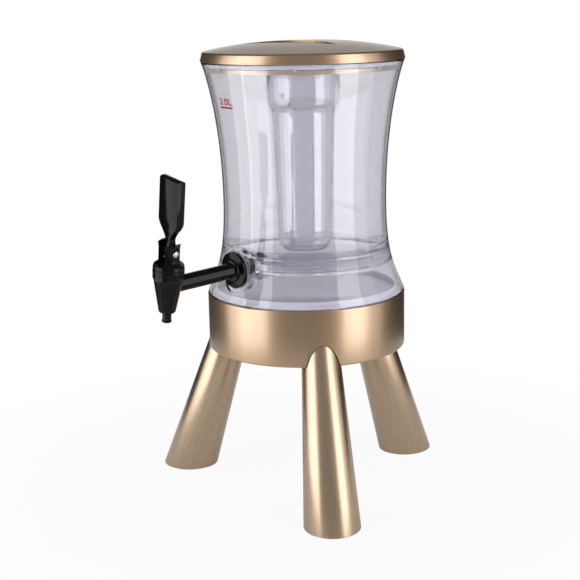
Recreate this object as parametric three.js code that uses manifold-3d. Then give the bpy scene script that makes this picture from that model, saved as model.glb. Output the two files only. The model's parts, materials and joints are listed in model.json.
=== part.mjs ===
// A countertop beer dispenser: a waisted clear vessel with an ice tube hung from its lid, on a round
// base drum with three splayed legs, and a lever tap on a long shank. Millimetres, +Z up. The origin
// is on the floor, on the vessel's axis, and the tap points towards -Y.
import * as THREE from "three";
import { mergeVertices } from "three/addons/utils/BufferGeometryUtils.js";
import Module from "manifold-3d";

// Clearances shared by every fit
const fitGap = 0.3; // between pieces that touch or slide
const overrun = 2; // how far a cutting shape passes the face that it cuts
const turn = 2 * Math.PI;
const weldDistance = 1e-4; // corners nearer than this are one corner

// Round shapes: how many sides they get
const wideSides = 40;
const midSides = 28;
const smallSides = 16;
const tinySides = 8;
const hexSides = 6;

// Stand: legs and their foot pads
const legCount = 3;
const legBearing = THREE.MathUtils.degToRad(-32.4); // first leg, from +X
const standHeight = 143.8; // floor to the underside of the drum
const legInDrum = 36; // underside of the drum up to a leg's top, on the leg's axis
const legTopInset = 24.76; // from the drum's outside in to the axis of a leg's top
const legTilt = THREE.MathUtils.degToRad(18.9);
const legFootRadius = 26.8;
const legTaper = 0.054; // loss of radius per millimetre along the axis
const legWall = 2.6;
const legCap = 14; // solid top that holds the stud
const padProud = 1.2; // how far a foot pad stands below its leg
const padHeight = 9;
const studRadius = 4;
const studInLeg = 10;
const studInSocket = 12;

// Base drum
const drumRadius = 97;
const drumHeight = 54.8;
const drumWall = 2.6;
const drumBevel = 1.1;
const drumLedge = 4.6; // width of the top ledge that carries the vessel
const shelfWidth = 4; // inner shelf that carries the deck
const shelfThickness = 2.4;
const notchGap = 0.9; // clearance of the wall round each leg
const drumTop = standHeight + drumHeight;
const legLength = (standHeight + legInDrum) / Math.cos(legTilt); // along the axis, from the floor
const footCircle = drumRadius - legTopInset + legLength * Math.sin(legTilt); // of the axes, on the floor

// Deck inside the drum, with its leg sockets
const deckThickness = 3;
const socketDepth = 28;
const socketWall = 3;
const collarGap = 5.1; // inside of the vessel's lip in to the collar
const collarWall = 2.4;
const collarHeight = 5.6;
const catchHalfAngle = THREE.MathUtils.degToRad(9);
const catchDepth = 1.8;
const catchHeight = 2.2;
const screwRadius = 1.75;
const screwHeadRadius = 3.5;
const screwHeadHeight = 2.2;
const screwReach = 14; // underside of the head to the tip
const screwInset = 16;
const screwCircle = drumRadius - screwInset;
const postRadius = 4.8;
const bracketDrop = 13; // deck underside to the top of a drum bracket
const bracketThickness = 2.6;

// Vessel
const vesselWall = 2.6;
const lip = drumTop + fitGap;
const lipInset = 0.1;
const lipRadius = drumRadius - lipInset;
const collarRadius = lipRadius - vesselWall - collarGap;
const lipSlope = 0.39;
const lipReach = 21; // how far the flare keeps the lip's slope
const waistInset = 17.4;
const waistRadius = lipRadius - waistInset;
const waistRise = 89.1; // lip to the waist
const waistHeight = lip + waistRise;
const waistPullDown = 58.5;
const waistPullUp = 74;
const rimFlare = 0.7; // how much wider the rim is than the lip
const rimRadius = lipRadius + rimFlare;
const vesselHeight = 222.7;
const rimHeight = lip + vesselHeight;
const rimSlope = 0.44;
const rimReach = 10;
const rimRound = 0.7;
const bowlRound = 17.5; // how far the flat part of the floor stays inside the waist
const floorRadius = waistRadius - bowlRound;
const skirtHeight = 33.1; // lip to the floor's upper face
const floorHeight = lip + skirtHeight;
const floorThickness = 3.2;
const floorBottom = floorHeight - floorThickness;
const bowlHeight = 18; // the rounded corner of the floor
const flareSteps = 7; // straight stretches that each flare is drawn with

// Ice tube
const cupRadius = 35.7;
const tubeDrop = 2; // below the vessel's rim
const tubeTop = rimHeight - tubeDrop;
const cupDepth = 33.8;
const cupBottom = tubeTop - cupDepth;
const shoulderWidth = 5.8;
const neckRadius = cupRadius - shoulderWidth;
const shoulderHeight = 17.8;
const neckHeight = cupBottom - shoulderHeight;
const tubeDraft = 2.9; // loss of radius from the neck to the foot
const tubeFootRadius = neckRadius - tubeDraft;
const tubeClearance = 5; // over the vessel's floor
const tubeBottom = floorHeight + tubeClearance;
const tubeCorner = 13.5;
const tubeWall = 2;
const tubeLugHeight = 2.8;
const tubeLugDepth = 1.7;
const tubeLugDrop = 3.4; // rim of the tube to the top of its lugs
const tubeLugHalfAngle = THREE.MathUtils.degToRad(14);
const tubeLugPassShare = 1.15; // width of the collar's entry slots, against the lugs
const tubeShoulderShares = [[0.25, 0.45], [0.9, 0.9]]; // the shoulder's bends: outwards, upwards

// Lid
const capOverhang = 0.4;
const capRadius = rimRadius + capOverhang;
const capDraft = 2;
const capShoulderRadius = capRadius - capDraft;
const capBand = 9.3; // vessel's rim to the dome's edge
const capShoulderHeight = rimHeight + capBand;
const capRound = 1;
const domeRise = 9.1;
const domePower = 2.4;
const capWall = 2.4;
const handleBearing = THREE.MathUtils.degToRad(22.7);
const pocketHalfLength = 50;
const pocketInner = 8; // half the width of the grip bar between the pockets
const pocketOuter = 37.4;
const pocketTips = 30.5;
const pocketWidthShare = 0.985; // the tips are cut a little short of the arcs' meeting point
const linerThickness = 2.2;
const plugGap = 1.1; // from the plug out to the vessel's wall, at the plug's lower edge
const plugWall = 2.2;
const plugDepth = 8.4;
const plugBottom = rimHeight - plugDepth;
const sealWidth = 2;
const sealDepth = 4.2;
const sealBottom = rimHeight - sealDepth;
const sealHeight = 3.4;
const sealRibs = 8;
const sealRibHalfAngle = THREE.MathUtils.degToRad(0.6);
const tubeCollarWall = 3.4;
const tubeCollarDepth = 12.6;
const tubeCollarBottom = rimHeight - tubeCollarDepth;
const gasketWidth = 2.4;
const sealGap = 0.6; // between the seal and the sloping wall outside it

// Tap shank, seen along its own axis: distances from the vessel's axis
const shankRise = 1.7; // vessel's floor to the shank's axis, where that would meet the vessel's
const shankHeight = floorHeight + shankRise;
const shankDroop = THREE.MathUtils.degToRad(2.3);
const shankRadius = 7.5;
const shankBore = 3.4;
const seatProud = 1.9; // how far the flat seat stands out from the wall
const bossDepth = 16; // between the outer and the inner seat
const padDepth = 8; // how far the outer boss goes in from its seat
const inletDepth = 13; // inner seat to the shank's inner end
const sumpReach = 5; // how far the sump round the nut goes on past the shank's end
const seatRadius = 21;
const innerSeatRadius = 12.4;
const outerWasherRadius = 18.2;
const outerWasherThickness = 1.7;
const flangeRadius = 17.4;
const flangeThickness = 3.3;
const flangeBevel = 0.6;
const hubRadius = 10.5;
const hubThickness = 2.6;
const hubDraft = 0.3;
const innerWasherRadius = 10.6;
const innerWasherThickness = 2;
const nutAcrossCorners = 20.8;
const nutThickness = 7;

// Tap body and what is in it: heights from the shank's axis, along the tap's own axis
const shankReach = 80.6; // outer seat to the tap's axis, along the shank
const tapTwist = THREE.MathUtils.degToRad(10.4);
const bodyTop = 13.4;
const bodyTopRadius = 14.4;
const bodyShoulder = 8.5;
const bodyShoulderRadius = 13.9;
const bodyBottom = -24.2;
const bodyBottomRadius = 7.9;
const fluteCount = 16;
const fluteDepth = 0.5;
const nozzleRadius = 4.2;
const nozzleChamfer = 2.6;
const nozzleBottom = -35;
const nozzleBead = 0.4;
const nozzleBeadTop = 1.6; // nozzle's end to the top of its bead
const outletRadius = 2.8;
const seatBottom = -19;
const seatTop = -15;
const seatTopRadius = 5.6;
const chamberRadius = 7;
const chamberBottom = -9;
const socketEnd = 9; // shank end to the tap's axis
const spigotRadius = 10.2;
const spigotBottom = 8.3;
const ridgeRadius = 14.6;
const ridgeHeight = 3;
const grooveDepth = 0.7;
const grooveWidth = 2.1;
const collarTop = 21.6;
const hoodRadius = 9.7;
const hoodBottom = 25;
const tallCheekTop = 44.2;
const lowCheekTop = 41;
const leverSlot = 10;
const slotBottom = 22.4;
const cheekRound = 1.6;

// Lever, pin, valve
const pinHeight = 33.7;
const pinRadius = 1.5;
const pinHeadRadius = 3;
const pinHeadThickness = 1.4;
const leverHubRadius = 4.4;
const yokeWidth = 9.2;
const yokeGap = 6.2;
const paddleWidth = 27.3;
const paddleShift = 1.1; // the paddle and its neck lie off the middle of the yoke
const paddleThickness = 8;
const paddleTop = 103;
const paddleShoulder = 63.8;
const neckHeightOnLever = 45;
const neckWidth = 6.3;
const neckThickness = 6.4;
const paddleBevel = 0.9;
const paddleCrest = 2.2; // drop of the rounded top from its middle to its edges
const stemRadius = 1.5;
const stemHeadWidth = 5.6;
const stemHeadLength = 9;
const stemHeadThickness = 1;
const stemHeadDrop = 3.7; // pin axis to the top of the stem's head
const prongThickness = 2;
const prongReach = 3;
const valveTop = -8.5;
const valveCore = -13; // bottom of the stem's hole in the seal
const springRadius = 4.3;
const springWire = 0.6;
const springTurns = 6;
const springSteps = 10; // straight stretches in each turn
const seatLift = 0.6; // raises the soft cone, so that it clears its sloping seat by the fit gap

// Finishes
const finish = (color, roughness, metalness, extra = {}) =>
  new THREE.MeshStandardMaterial({ color, roughness, metalness, ...extra });
const champagne = finish(0xc9ad85, 0.32, 0.75);
const champagneBrushed = finish(0xc2a887, 0.38, 0.85);
const clearPlastic = finish(0xdedbe8, 0.05, 0, { transparent: true, opacity: 0.35 });
const whitePlastic = finish(0xe8e6ec, 0.4, 0);
const silicone = finish(0xe6e4e0, 0.5, 0, { transparent: true, opacity: 0.7 });
const blackPlastic = finish(0x161616, 0.25, 0);
const rubber = finish(0x2a2927, 0.8, 0);
const steel = finish(0xc4c6c9, 0.3, 1);

const wasm = await Module();
wasm.setup();
const { Manifold, Mesh: SolidMesh } = wasm;

// A closed geometry as a solid. Triangles that collapse on an axis are left out.
function solid(geometry) {
  const bare = geometry.clone();
  bare.deleteAttribute("normal");
  bare.deleteAttribute("uv");
  const merged = mergeVertices(bare, weldDistance);
  const corners = merged.index.array;
  const triVerts = [];
  for (let i = 0; i < corners.length; i += 3) {
    const [a, b, c] = corners.slice(i, i + 3);
    if (a !== b && b !== c && c !== a) triVerts.push(a, b, c);
  }
  const vertProperties = merged.attributes.position.array;
  return new Manifold(
    new SolidMesh({ numProp: 3, vertProperties, triVerts: new Uint32Array(triVerts) }),
  );
}

// A solid as a geometry again
function geometryOf(body) {
  const { vertProperties, numProp, triVerts, numVert } = body.getMesh();
  const position = new Float32Array(numVert * 3);
  for (let i = 0; i < numVert; i++) {
    position.set(vertProperties.subarray(i * numProp, i * numProp + 3), i * 3);
  }
  const geometry = new THREE.BufferGeometry();
  geometry.setAttribute("position", new THREE.BufferAttribute(position, 3));
  geometry.setIndex(new THREE.BufferAttribute(triVerts, 1));
  geometry.computeVertexNormals();
  return geometry;
}

// Solids made from three.js shapes. Outlines of turned shapes run up their outside.
const turned = (outline, sides) =>
  solid(
    new THREE.LatheGeometry(
      outline.map(([r, z]) => new THREE.Vector2(r, z)),
      sides,
    ).rotateX(turn / 4),
  );
const rod = (radius, from, to, sides = smallSides, radiusTo = radius) =>
  turned([[0, from], [radius, from], [radiusTo, to], [0, to]], sides);
const ring = (inner, outer, from, to, sides = midSides) =>
  turned([[inner, from], [outer, from], [outer, to], [inner, to], [inner, from]], sides);
const extruded = (shape, from, to, curveSegments = 6) =>
  solid(
    new THREE.ExtrudeGeometry(shape, { depth: to - from, bevelEnabled: false, curveSegments })
      .translate(0, 0, from),
  );
const block = (x, y, z) => {
  const size = [x, y, z].map(([low, high]) => high - low);
  const middle = [x, y, z].map(([low, high]) => (low + high) / 2);
  return solid(new THREE.BoxGeometry(...size).translate(...middle));
};

// Part of a flat ring, centred on the bearing
function sector(inner, outer, halfAngle, bearing, from, to) {
  const shape = new THREE.Shape();
  shape.absarc(0, 0, outer, bearing - halfAngle, bearing + halfAngle, false);
  shape.absarc(0, 0, inner, bearing + halfAngle, bearing - halfAngle, true);
  shape.closePath();
  return extruded(shape, from, to, 3);
}

// Places a solid: rotations in degrees about X, then Y, then Z, and then a move
const toDegrees = THREE.MathUtils.radToDeg;
const placed = (body, [x, y, z], [rx, ry, rz] = [0, 0, 0]) =>
  body.rotate([rx, ry, rz].map(toDegrees)).translate([x, y, z]);
const alongX = (body) => placed(body, [0, 0, 0], [0, turn / 4, 0]);
const alongMinusY = (body) => placed(body, [0, 0, 0], [turn / 4, 0, 0]);
const bearings = (count, first) => Array.from({ length: count }, (_, i) => first + (i * turn) / count);
const atBearing = (body, bearing, radius) =>
  placed(body, [radius * Math.cos(bearing), radius * Math.sin(bearing), 0], [0, 0, bearing]);

const assembly = new THREE.Group();
function addPiece(name, body, material, parent = assembly) {
  const mesh = new THREE.Mesh(geometryOf(body), material);
  mesh.name = name;
  parent.add(mesh);
  return mesh;
}

// Vessel outline: a flare from the lip to the waist, and a longer one from the waist to the rim
const flareDown = new THREE.CubicBezierCurve(
  new THREE.Vector2(lipRadius, lip),
  new THREE.Vector2(lipRadius - lipSlope * lipReach, lip + lipReach),
  new THREE.Vector2(waistRadius, waistHeight - waistPullDown),
  new THREE.Vector2(waistRadius, waistHeight),
);
const flareUp = new THREE.CubicBezierCurve(
  new THREE.Vector2(waistRadius, waistHeight),
  new THREE.Vector2(waistRadius, waistHeight + waistPullUp),
  new THREE.Vector2(rimRadius - rimSlope * rimReach, rimHeight - rimReach),
  new THREE.Vector2(rimRadius, rimHeight),
);
const outerPoints = [
  ...flareDown.getPoints(flareSteps),
  ...flareUp.getPoints(flareSteps).slice(1),
].map((p) => [p.x, p.y]);

// Radius of the vessel's outside at a height, between the outline's points
function outerRadiusAt(z) {
  const i = Math.max(1, outerPoints.findIndex(([, height]) => height >= z));
  const [[r0, z0], [r1, z1]] = [outerPoints[i - 1], outerPoints[i]];
  return r0 + ((r1 - r0) * (z - z0)) / (z1 - z0);
}
const innerRadiusAt = (z) => outerRadiusAt(z) - vesselWall;

// The floor's rounded corner, from its flat part out and up to the wall
function bowlCorner(steps) {
  const top = floorHeight + bowlHeight;
  const across = innerRadiusAt(top) - floorRadius;
  return Array.from({ length: steps + 1 }, (_, i) => {
    const angle = (Math.PI / 2 * i) / steps;
    return [floorRadius + across * Math.sin(angle), top - bowlHeight * Math.cos(angle)];
  });
}

// The shank's length follows the wall where it passes through
const seatDistance = outerRadiusAt(shankHeight) + seatProud;
const innerSeatDistance = seatDistance - bossDepth;
const bossCore = seatDistance - padDepth;
const shankInlet = innerSeatDistance - inletDepth;
const sumpEnd = shankInlet - sumpReach;
const tapReach = seatDistance + shankReach;
const plugRadius = innerRadiusAt(plugBottom) - plugGap;

// The tap's own frames: the shank droops about X, and the tap is turned about the shank
const shankGroup = new THREE.Group();
shankGroup.position.z = shankHeight;
shankGroup.rotation.x = shankDroop;
assembly.add(shankGroup);
const tapGroup = new THREE.Group();
tapGroup.position.y = -tapReach;
tapGroup.rotation.y = tapTwist;
shankGroup.add(tapGroup);
const onShank = (body) => placed(alongMinusY(body), [0, 0, shankHeight], [shankDroop, 0, 0]);

function makeVessel() {
  const bowlInside = bowlCorner(5);
  const wallInside = outerPoints
    .filter(([, z]) => z > floorHeight + bowlHeight + overrun && z < rimHeight - rimRound)
    .map(([r, z]) => [r - vesselWall, z]);
  const insideUp = [[0, floorHeight], ...bowlInside, ...wallInside];
  const rimInner = rimRadius - vesselWall;
  const skirtInside = outerPoints
    .filter(([, z]) => z < floorBottom - overrun)
    .map(([r, z]) => [r - vesselWall, z])
    .reverse();
  const outline = [
    [0, floorBottom],
    [innerRadiusAt(floorBottom), floorBottom],
    ...skirtInside,
    ...outerPoints.slice(0, -1),
    [outerRadiusAt(rimHeight - rimRound), rimHeight - rimRound],
    [rimRadius - rimRound, rimHeight],
    [rimInner + rimRound, rimHeight],
    [innerRadiusAt(rimHeight - rimRound), rimHeight - rimRound],
    ...insideUp.toReversed(),
  ];
  const shell = turned(outline, wideSides);
  const aboveRim = rimHeight + overrun;
  const inside = turned([...insideUp, [rimInner, aboveRim], [0, aboveRim]], wideSides);
  const seatBoss = onShank(rod(seatRadius, bossCore, seatDistance, midSides)).subtract(inside);
  const nutBoss = onShank(rod(innerSeatRadius, innerSeatDistance, seatDistance, smallSides));
  const sumpRadius = innerSeatRadius + vesselWall;
  const sumpStart = innerSeatDistance + sumpReach;
  const sump = onShank(rod(sumpRadius, sumpEnd - vesselWall, sumpStart, smallSides));
  const nutPocket = onShank(rod(innerSeatRadius, sumpEnd, innerSeatDistance, smallSides));
  const outerCut = onShank(
    rod(seatRadius + fitGap, seatDistance, seatDistance + flangeThickness + seatRadius, midSides),
  );
  const bore = onShank(rod(shankRadius + fitGap, shankInlet, seatDistance + overrun));
  let vessel = shell.add(seatBoss).add(sump.subtract(inside)).add(nutBoss);
  vessel = vessel.subtract(nutPocket).subtract(outerCut).subtract(bore);
  const catchTop = drumTop + collarHeight - catchHeight - fitGap;
  for (const bearing of bearings(legCount, legBearing)) {
    const reach = collarRadius + fitGap;
    const wallReach = innerRadiusAt(catchTop) + vesselWall / 2;
    vessel = vessel.add(
      sector(reach, wallReach, catchHalfAngle, bearing, catchTop - catchHeight, catchTop),
    );
  }
  return vessel;
}
addPiece("vessel", makeVessel(), clearPlastic);

// A leg's cone about its axis, in the plane of its bearing: the axis leans in from the foot circle
const legRadiusAt = (distance) => legFootRadius - legTaper * distance;
const belowFloor = legFootRadius;
function legCone(growth, from, to, sides = midSides) {
  const cone = rod(legRadiusAt(from) + growth, from, to, sides, legRadiusAt(to) + growth);
  return placed(cone, [footCircle, 0, 0], [0, -legTilt, 0]);
}
const onLegAxis = (body) => placed(body, [footCircle, 0, 0], [0, -legTilt, 0]);
const under = (height) => {
  const reach = footCircle + 2 * legFootRadius;
  return block([-reach, reach], [-reach, reach], [-reach, height]);
};

function makeDrum() {
  const outline = [
    [drumRadius - drumBevel, standHeight],
    [drumRadius, standHeight + drumBevel],
    [drumRadius, drumTop - drumBevel],
    [drumRadius - drumBevel, drumTop],
    [drumRadius - drumLedge, drumTop],
    [drumRadius - drumLedge, drumTop - deckThickness - fitGap],
    [drumRadius - drumLedge - shelfWidth, drumTop - deckThickness - fitGap],
    [drumRadius - drumLedge - shelfWidth, drumTop - deckThickness - fitGap - shelfThickness],
    [drumRadius - drumWall, drumTop - deckThickness - fitGap - shelfThickness],
    [drumRadius - drumWall, standHeight],
    [drumRadius - drumBevel, standHeight],
  ];
  let drum = turned(outline, wideSides);
  const bracketTop = drumTop - deckThickness - bracketDrop;
  const bracketBottom = bracketTop - bracketThickness;
  const bracketRadius = postRadius + collarWall;
  for (const bearing of bearings(legCount, legBearing + turn / 2 / legCount)) {
    const arm = block(
      [screwCircle, drumRadius - drumWall / 2],
      [-bracketRadius, bracketRadius],
      [bracketBottom, bracketTop],
    );
    const end = placed(rod(bracketRadius, bracketBottom, bracketTop), [screwCircle, 0, 0]);
    const hole = placed(
      rod(screwRadius + fitGap, bracketBottom - overrun, bracketTop + overrun),
      [screwCircle, 0, 0],
    );
    drum = drum.add(atBearing(arm.add(end).subtract(hole), bearing, 0));
  }
  for (const bearing of bearings(legCount, legBearing)) {
    drum = drum.subtract(atBearing(legCone(notchGap, 0, legLength), bearing, 0));
  }
  return drum;
}
addPiece("base_drum", makeDrum(), champagne);

function makeDeck() {
  const underside = drumTop - deckThickness;
  let deck = rod(drumRadius - drumLedge - fitGap, underside, drumTop, wideSides);
  deck = deck.add(
    ring(collarRadius - collarWall, collarRadius, underside, drumTop + collarHeight, wideSides),
  );
  const inDrum = rod(drumRadius - drumWall - fitGap, standHeight, drumTop - deckThickness / 2, wideSides)
    .subtract(
      ring(
        drumRadius - drumLedge - shelfWidth - fitGap,
        drumRadius,
        underside - shelfThickness - fitGap - fitGap,
        drumTop,
        wideSides,
      ),
    );
  for (const bearing of bearings(legCount, legBearing)) {
    const socket = atBearing(
      legCone(fitGap + socketWall, legLength - socketDepth, legLength + socketDepth),
      bearing,
      0,
    ).intersect(inDrum);
    const catchTop = drumTop + collarHeight;
    const tab = sector(
      collarRadius - collarWall / 2,
      collarRadius + catchDepth,
      catchHalfAngle,
      bearing,
      catchTop - catchHeight,
      catchTop,
    );
    deck = deck.add(socket).add(tab);
  }
  for (const bearing of bearings(legCount, legBearing)) {
    const bore = legCone(fitGap, -overrun, legLength + fitGap);
    const studHole = onLegAxis(rod(studRadius + fitGap, legLength, legLength + studInSocket + fitGap));
    deck = deck.subtract(atBearing(bore.add(studHole), bearing, 0));
  }
  for (const bearing of bearings(legCount, legBearing + turn / 2 / legCount)) {
    const bottom = underside - bracketDrop + fitGap;
    const post = placed(rod(postRadius, bottom, underside + fitGap), [screwCircle, 0, 0]);
    const hole = placed(
      rod(screwRadius + fitGap, bottom - overrun, underside - fitGap),
      [screwCircle, 0, 0],
    );
    deck = deck.add(atBearing(post, bearing, 0)).subtract(atBearing(hole, bearing, 0));
  }
  return deck;
}
addPiece("base_deck", makeDeck(), whitePlastic);

// Screws that draw the deck down: up through the drum's brackets into the deck's posts
const screwSeat = drumTop - deckThickness - bracketDrop - bracketThickness - fitGap;
bearings(legCount, legBearing + turn / 2 / legCount).forEach((bearing, i) => {
  const headBottom = screwSeat - screwHeadHeight;
  const driverTop = screwSeat - screwHeadHeight / 2;
  const head = rod(screwHeadRadius, headBottom, screwSeat, tinySides);
  const shaft = rod(screwRadius, driverTop, screwSeat + screwReach, tinySides);
  const driver = rod(screwRadius, headBottom - overrun, driverTop, hexSides);
  const screw = head.add(shaft).subtract(driver);
  addPiece(`deck_screw_${i + 1}`, atBearing(placed(screw, [screwCircle, 0, 0]), bearing, 0), steel);
});

// Legs: tapered tubes with a solid top, cut level at the foot
const legBody = legCone(0, -belowFloor, legLength)
  .subtract(legCone(-legWall, -belowFloor - overrun, legLength - legCap))
  .subtract(onLegAxis(rod(studRadius + fitGap, legLength - studInLeg - fitGap, legLength + overrun)))
  .subtract(under(padProud));
const padBody = legCone(-legWall - fitGap, -belowFloor, padHeight).subtract(under(0));
const studBody = onLegAxis(rod(studRadius, legLength - studInLeg, legLength + studInSocket));
bearings(legCount, legBearing).forEach((bearing, i) => {
  addPiece(`leg_${i + 1}`, atBearing(legBody, bearing, 0), champagneBrushed);
  addPiece(`foot_pad_${i + 1}`, atBearing(padBody, bearing, 0), rubber);
  addPiece(`leg_stud_${i + 1}`, atBearing(studBody, bearing, 0), steel);
});

// Ice tube: a wide cup at the top, a shoulder, and a long tapered finger with a rounded bottom
function makeIceTube() {
  const cornerSteps = 4;
  const corner = (growth) =>
    Array.from({ length: cornerSteps + 1 }, (_, i) => {
      const angle = ((turn / 4) * i) / cornerSteps;
      const radius = tubeCorner - growth;
      const middle = tubeFootRadius - tubeCorner;
      return [middle + radius * Math.sin(angle), tubeBottom + tubeCorner - radius * Math.cos(angle)];
    });
  const shoulder = (growth) => [
    [neckRadius - growth, neckHeight],
    ...tubeShoulderShares.map(([outwards, upwards]) => [
      neckRadius - growth + (cupRadius - neckRadius) * outwards,
      neckHeight + (cupBottom - neckHeight) * upwards,
    ]),
    [cupRadius - growth, cupBottom + tubeWall],
    [cupRadius - growth, tubeTop],
  ];
  const outside = [[0, tubeBottom], ...corner(0), ...shoulder(0)];
  const inside = [[0, tubeBottom + tubeWall], ...corner(tubeWall), ...shoulder(tubeWall)];
  const lugTop = tubeTop - tubeLugDrop;
  const lugs = bearings(2, 0).map((bearing) =>
    sector(
      cupRadius - tubeWall / 2,
      cupRadius + tubeLugDepth,
      tubeLugHalfAngle,
      bearing,
      lugTop - tubeLugHeight,
      lugTop,
    ),
  );
  return turned([...outside, ...inside.toReversed()], midSides).add(lugs[0]).add(lugs[1]);
}
addPiece("ice_tube", makeIceTube(), clearPlastic);

// Lid cap: a domed cover with a bevelled band, and two finger pockets with a grip bar between them
const capBottom = rimHeight + fitGap;
const linerBottom = capBottom + fitGap;
const pocketFloor = linerBottom + linerThickness + fitGap + capWall;
function domeOutline(inset, bottom) {
  const steps = 6;
  const dome = Array.from({ length: steps }, (_, i) => {
    const share = 1 - i / steps;
    const radius = (capShoulderRadius - capRound) * share;
    return [
      Math.max(0, radius - inset * share),
      capShoulderHeight + domeRise * (1 - share ** domePower) - inset,
    ];
  });
  return [
    [0, bottom],
    [capRadius - inset, bottom],
    [capShoulderRadius - inset, capShoulderHeight - capRound - inset],
    ...dome,
    [0, capShoulderHeight + domeRise - inset],
  ];
}
function pocketShape(growth) {
  const arcThrough = (tips, middle) => {
    const rise = Math.abs(middle - tips);
    return (pocketHalfLength ** 2 + rise ** 2) / (2 * rise);
  };
  const innerArc = arcThrough(pocketTips, pocketInner) + growth;
  const outerArc = arcThrough(pocketTips, pocketOuter) + growth;
  const points = [];
  const steps = 8;
  const width = (pocketHalfLength + growth) * pocketWidthShare;
  const innerMiddle = -pocketInner + growth - innerArc;
  const outerMiddle = -pocketOuter - growth + outerArc;
  for (let i = 0; i <= steps; i++) {
    const x = width * (1 - (2 * i) / steps);
    points.push(new THREE.Vector2(x, innerMiddle + Math.sqrt(innerArc ** 2 - x ** 2)));
  }
  for (let i = 0; i <= steps; i++) {
    const x = width * ((2 * i) / steps - 1);
    points.push(new THREE.Vector2(x, outerMiddle - Math.sqrt(outerArc ** 2 - x ** 2)));
  }
  return new THREE.Shape(points);
}
function makeCap() {
  const full = turned(domeOutline(0, capBottom), wideSides);
  const hollow = turned(domeOutline(capWall, capBottom - overrun), wideSides);
  let cap = full.subtract(hollow);
  for (const bearing of bearings(2, handleBearing)) {
    const top = capShoulderHeight + domeRise + overrun;
    const tub = extruded(pocketShape(capWall), pocketFloor - capWall, top);
    const pocket = extruded(pocketShape(0), pocketFloor, top);
    cap = cap.add(placed(tub, [0, 0, 0], [0, 0, bearing]).intersect(full));
    cap = cap.subtract(placed(pocket, [0, 0, 0], [0, 0, bearing]));
  }
  return cap;
}
addPiece("lid_cap", makeCap(), champagne);

// Lid liner: closes the cap from below, plugs the rim, and holds the ice tube in a quarter-turn collar
function makeLiner() {
  const collarInner = cupRadius + fitGap;
  const collarOuter = collarInner + tubeCollarWall;
  const lugTop = tubeTop - tubeLugDrop;
  const grooveRadius = cupRadius + tubeLugDepth + fitGap;
  const discRadius = capShoulderRadius - capWall - fitGap;
  const disc = rod(discRadius, linerBottom, linerBottom + linerThickness, wideSides);
  const plug = ring(plugRadius - plugWall, plugRadius, plugBottom, linerBottom + fitGap, wideSides);
  const sealLedge = ring(
    plugRadius - plugWall / 2,
    innerRadiusAt(plugBottom) - fitGap,
    plugBottom,
    sealBottom - fitGap,
    wideSides,
  );
  const collar = ring(collarInner, collarOuter, tubeCollarBottom, linerBottom + fitGap);
  const groove = ring(
    collarInner - overrun,
    grooveRadius,
    lugTop - tubeLugHeight - fitGap,
    lugTop + fitGap,
  );
  let liner = disc.add(plug).add(sealLedge).add(collar).subtract(groove);
  for (const bearing of bearings(2, turn / 4)) {
    liner = liner.subtract(
      sector(
        collarInner - overrun,
        grooveRadius,
        tubeLugHalfAngle * tubeLugPassShare,
        bearing,
        tubeCollarBottom - overrun,
        lugTop,
      ),
    );
  }
  return liner;
}
addPiece("lid_liner", makeLiner(), champagne);

// Seals of the lid: a ribbed ring round the plug, and a gasket over the ice tube's rim
function makeLidSeal() {
  const top = sealBottom + sealHeight;
  const inner = plugRadius + fitGap;
  const outerAt = (z) => Math.min(inner + sealWidth, innerRadiusAt(z) - sealGap);
  const outline = [
    [inner, sealBottom],
    [outerAt(sealBottom), sealBottom],
    [outerAt(top), top],
    [inner, top],
    [inner, sealBottom],
  ];
  let seal = turned(outline, wideSides);
  for (const bearing of bearings(sealRibs, 0)) {
    const rib = sector(
      inner + sealWidth / 2,
      outerAt(sealBottom) + fitGap / 2,
      sealRibHalfAngle,
      bearing,
      sealBottom,
      top,
    );
    seal = seal.add(rib);
  }
  return seal;
}
addPiece("lid_seal", makeLidSeal(), silicone);
addPiece(
  "tube_gasket",
  ring(cupRadius - gasketWidth, cupRadius, tubeTop + fitGap, linerBottom - fitGap),
  silicone,
);

// Tap shank with its flange, its two washers and the nut inside the vessel
const washerStart = seatDistance + fitGap;
const flangeStart = washerStart + outerWasherThickness + fitGap;
const innerWasherStart = innerSeatDistance - fitGap - innerWasherThickness;
const nutStart = innerWasherStart - fitGap - nutThickness;
const threadHole = shankRadius + fitGap;
const addOnShank = (name, body, material) => addPiece(name, alongMinusY(body), material, shankGroup);
const flangeEnd = flangeStart + flangeThickness;
addOnShank(
  "tap_shank",
  turned(
    [
      [shankBore, shankInlet],
      [shankRadius, shankInlet],
      [shankRadius, flangeStart],
      [flangeRadius - flangeBevel, flangeStart],
      [flangeRadius, flangeStart + flangeBevel],
      [flangeRadius, flangeEnd - flangeBevel],
      [flangeRadius - flangeBevel, flangeEnd],
      [hubRadius, flangeEnd],
      [hubRadius - hubDraft, flangeEnd + hubThickness],
      [shankRadius, flangeEnd + hubThickness],
      [shankRadius, tapReach - socketEnd - fitGap],
      [shankBore, tapReach - socketEnd - fitGap],
      [shankBore, shankInlet],
    ],
    midSides,
  ),
  blackPlastic,
);
addOnShank(
  "outer_washer",
  ring(threadHole, outerWasherRadius, washerStart, washerStart + outerWasherThickness),
  silicone,
);
const innerWasherEnd = innerWasherStart + innerWasherThickness;
addOnShank(
  "inner_washer",
  ring(threadHole, innerWasherRadius, innerWasherStart, innerWasherEnd, smallSides),
  silicone,
);
const hexagon = rod(nutAcrossCorners / 2, nutStart, nutStart + nutThickness, hexSides);
const nutHole = rod(threadHole, nutStart - overrun, nutStart + nutThickness + overrun);
addOnShank("inner_nut", hexagon.subtract(nutHole), clearPlastic);

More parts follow.
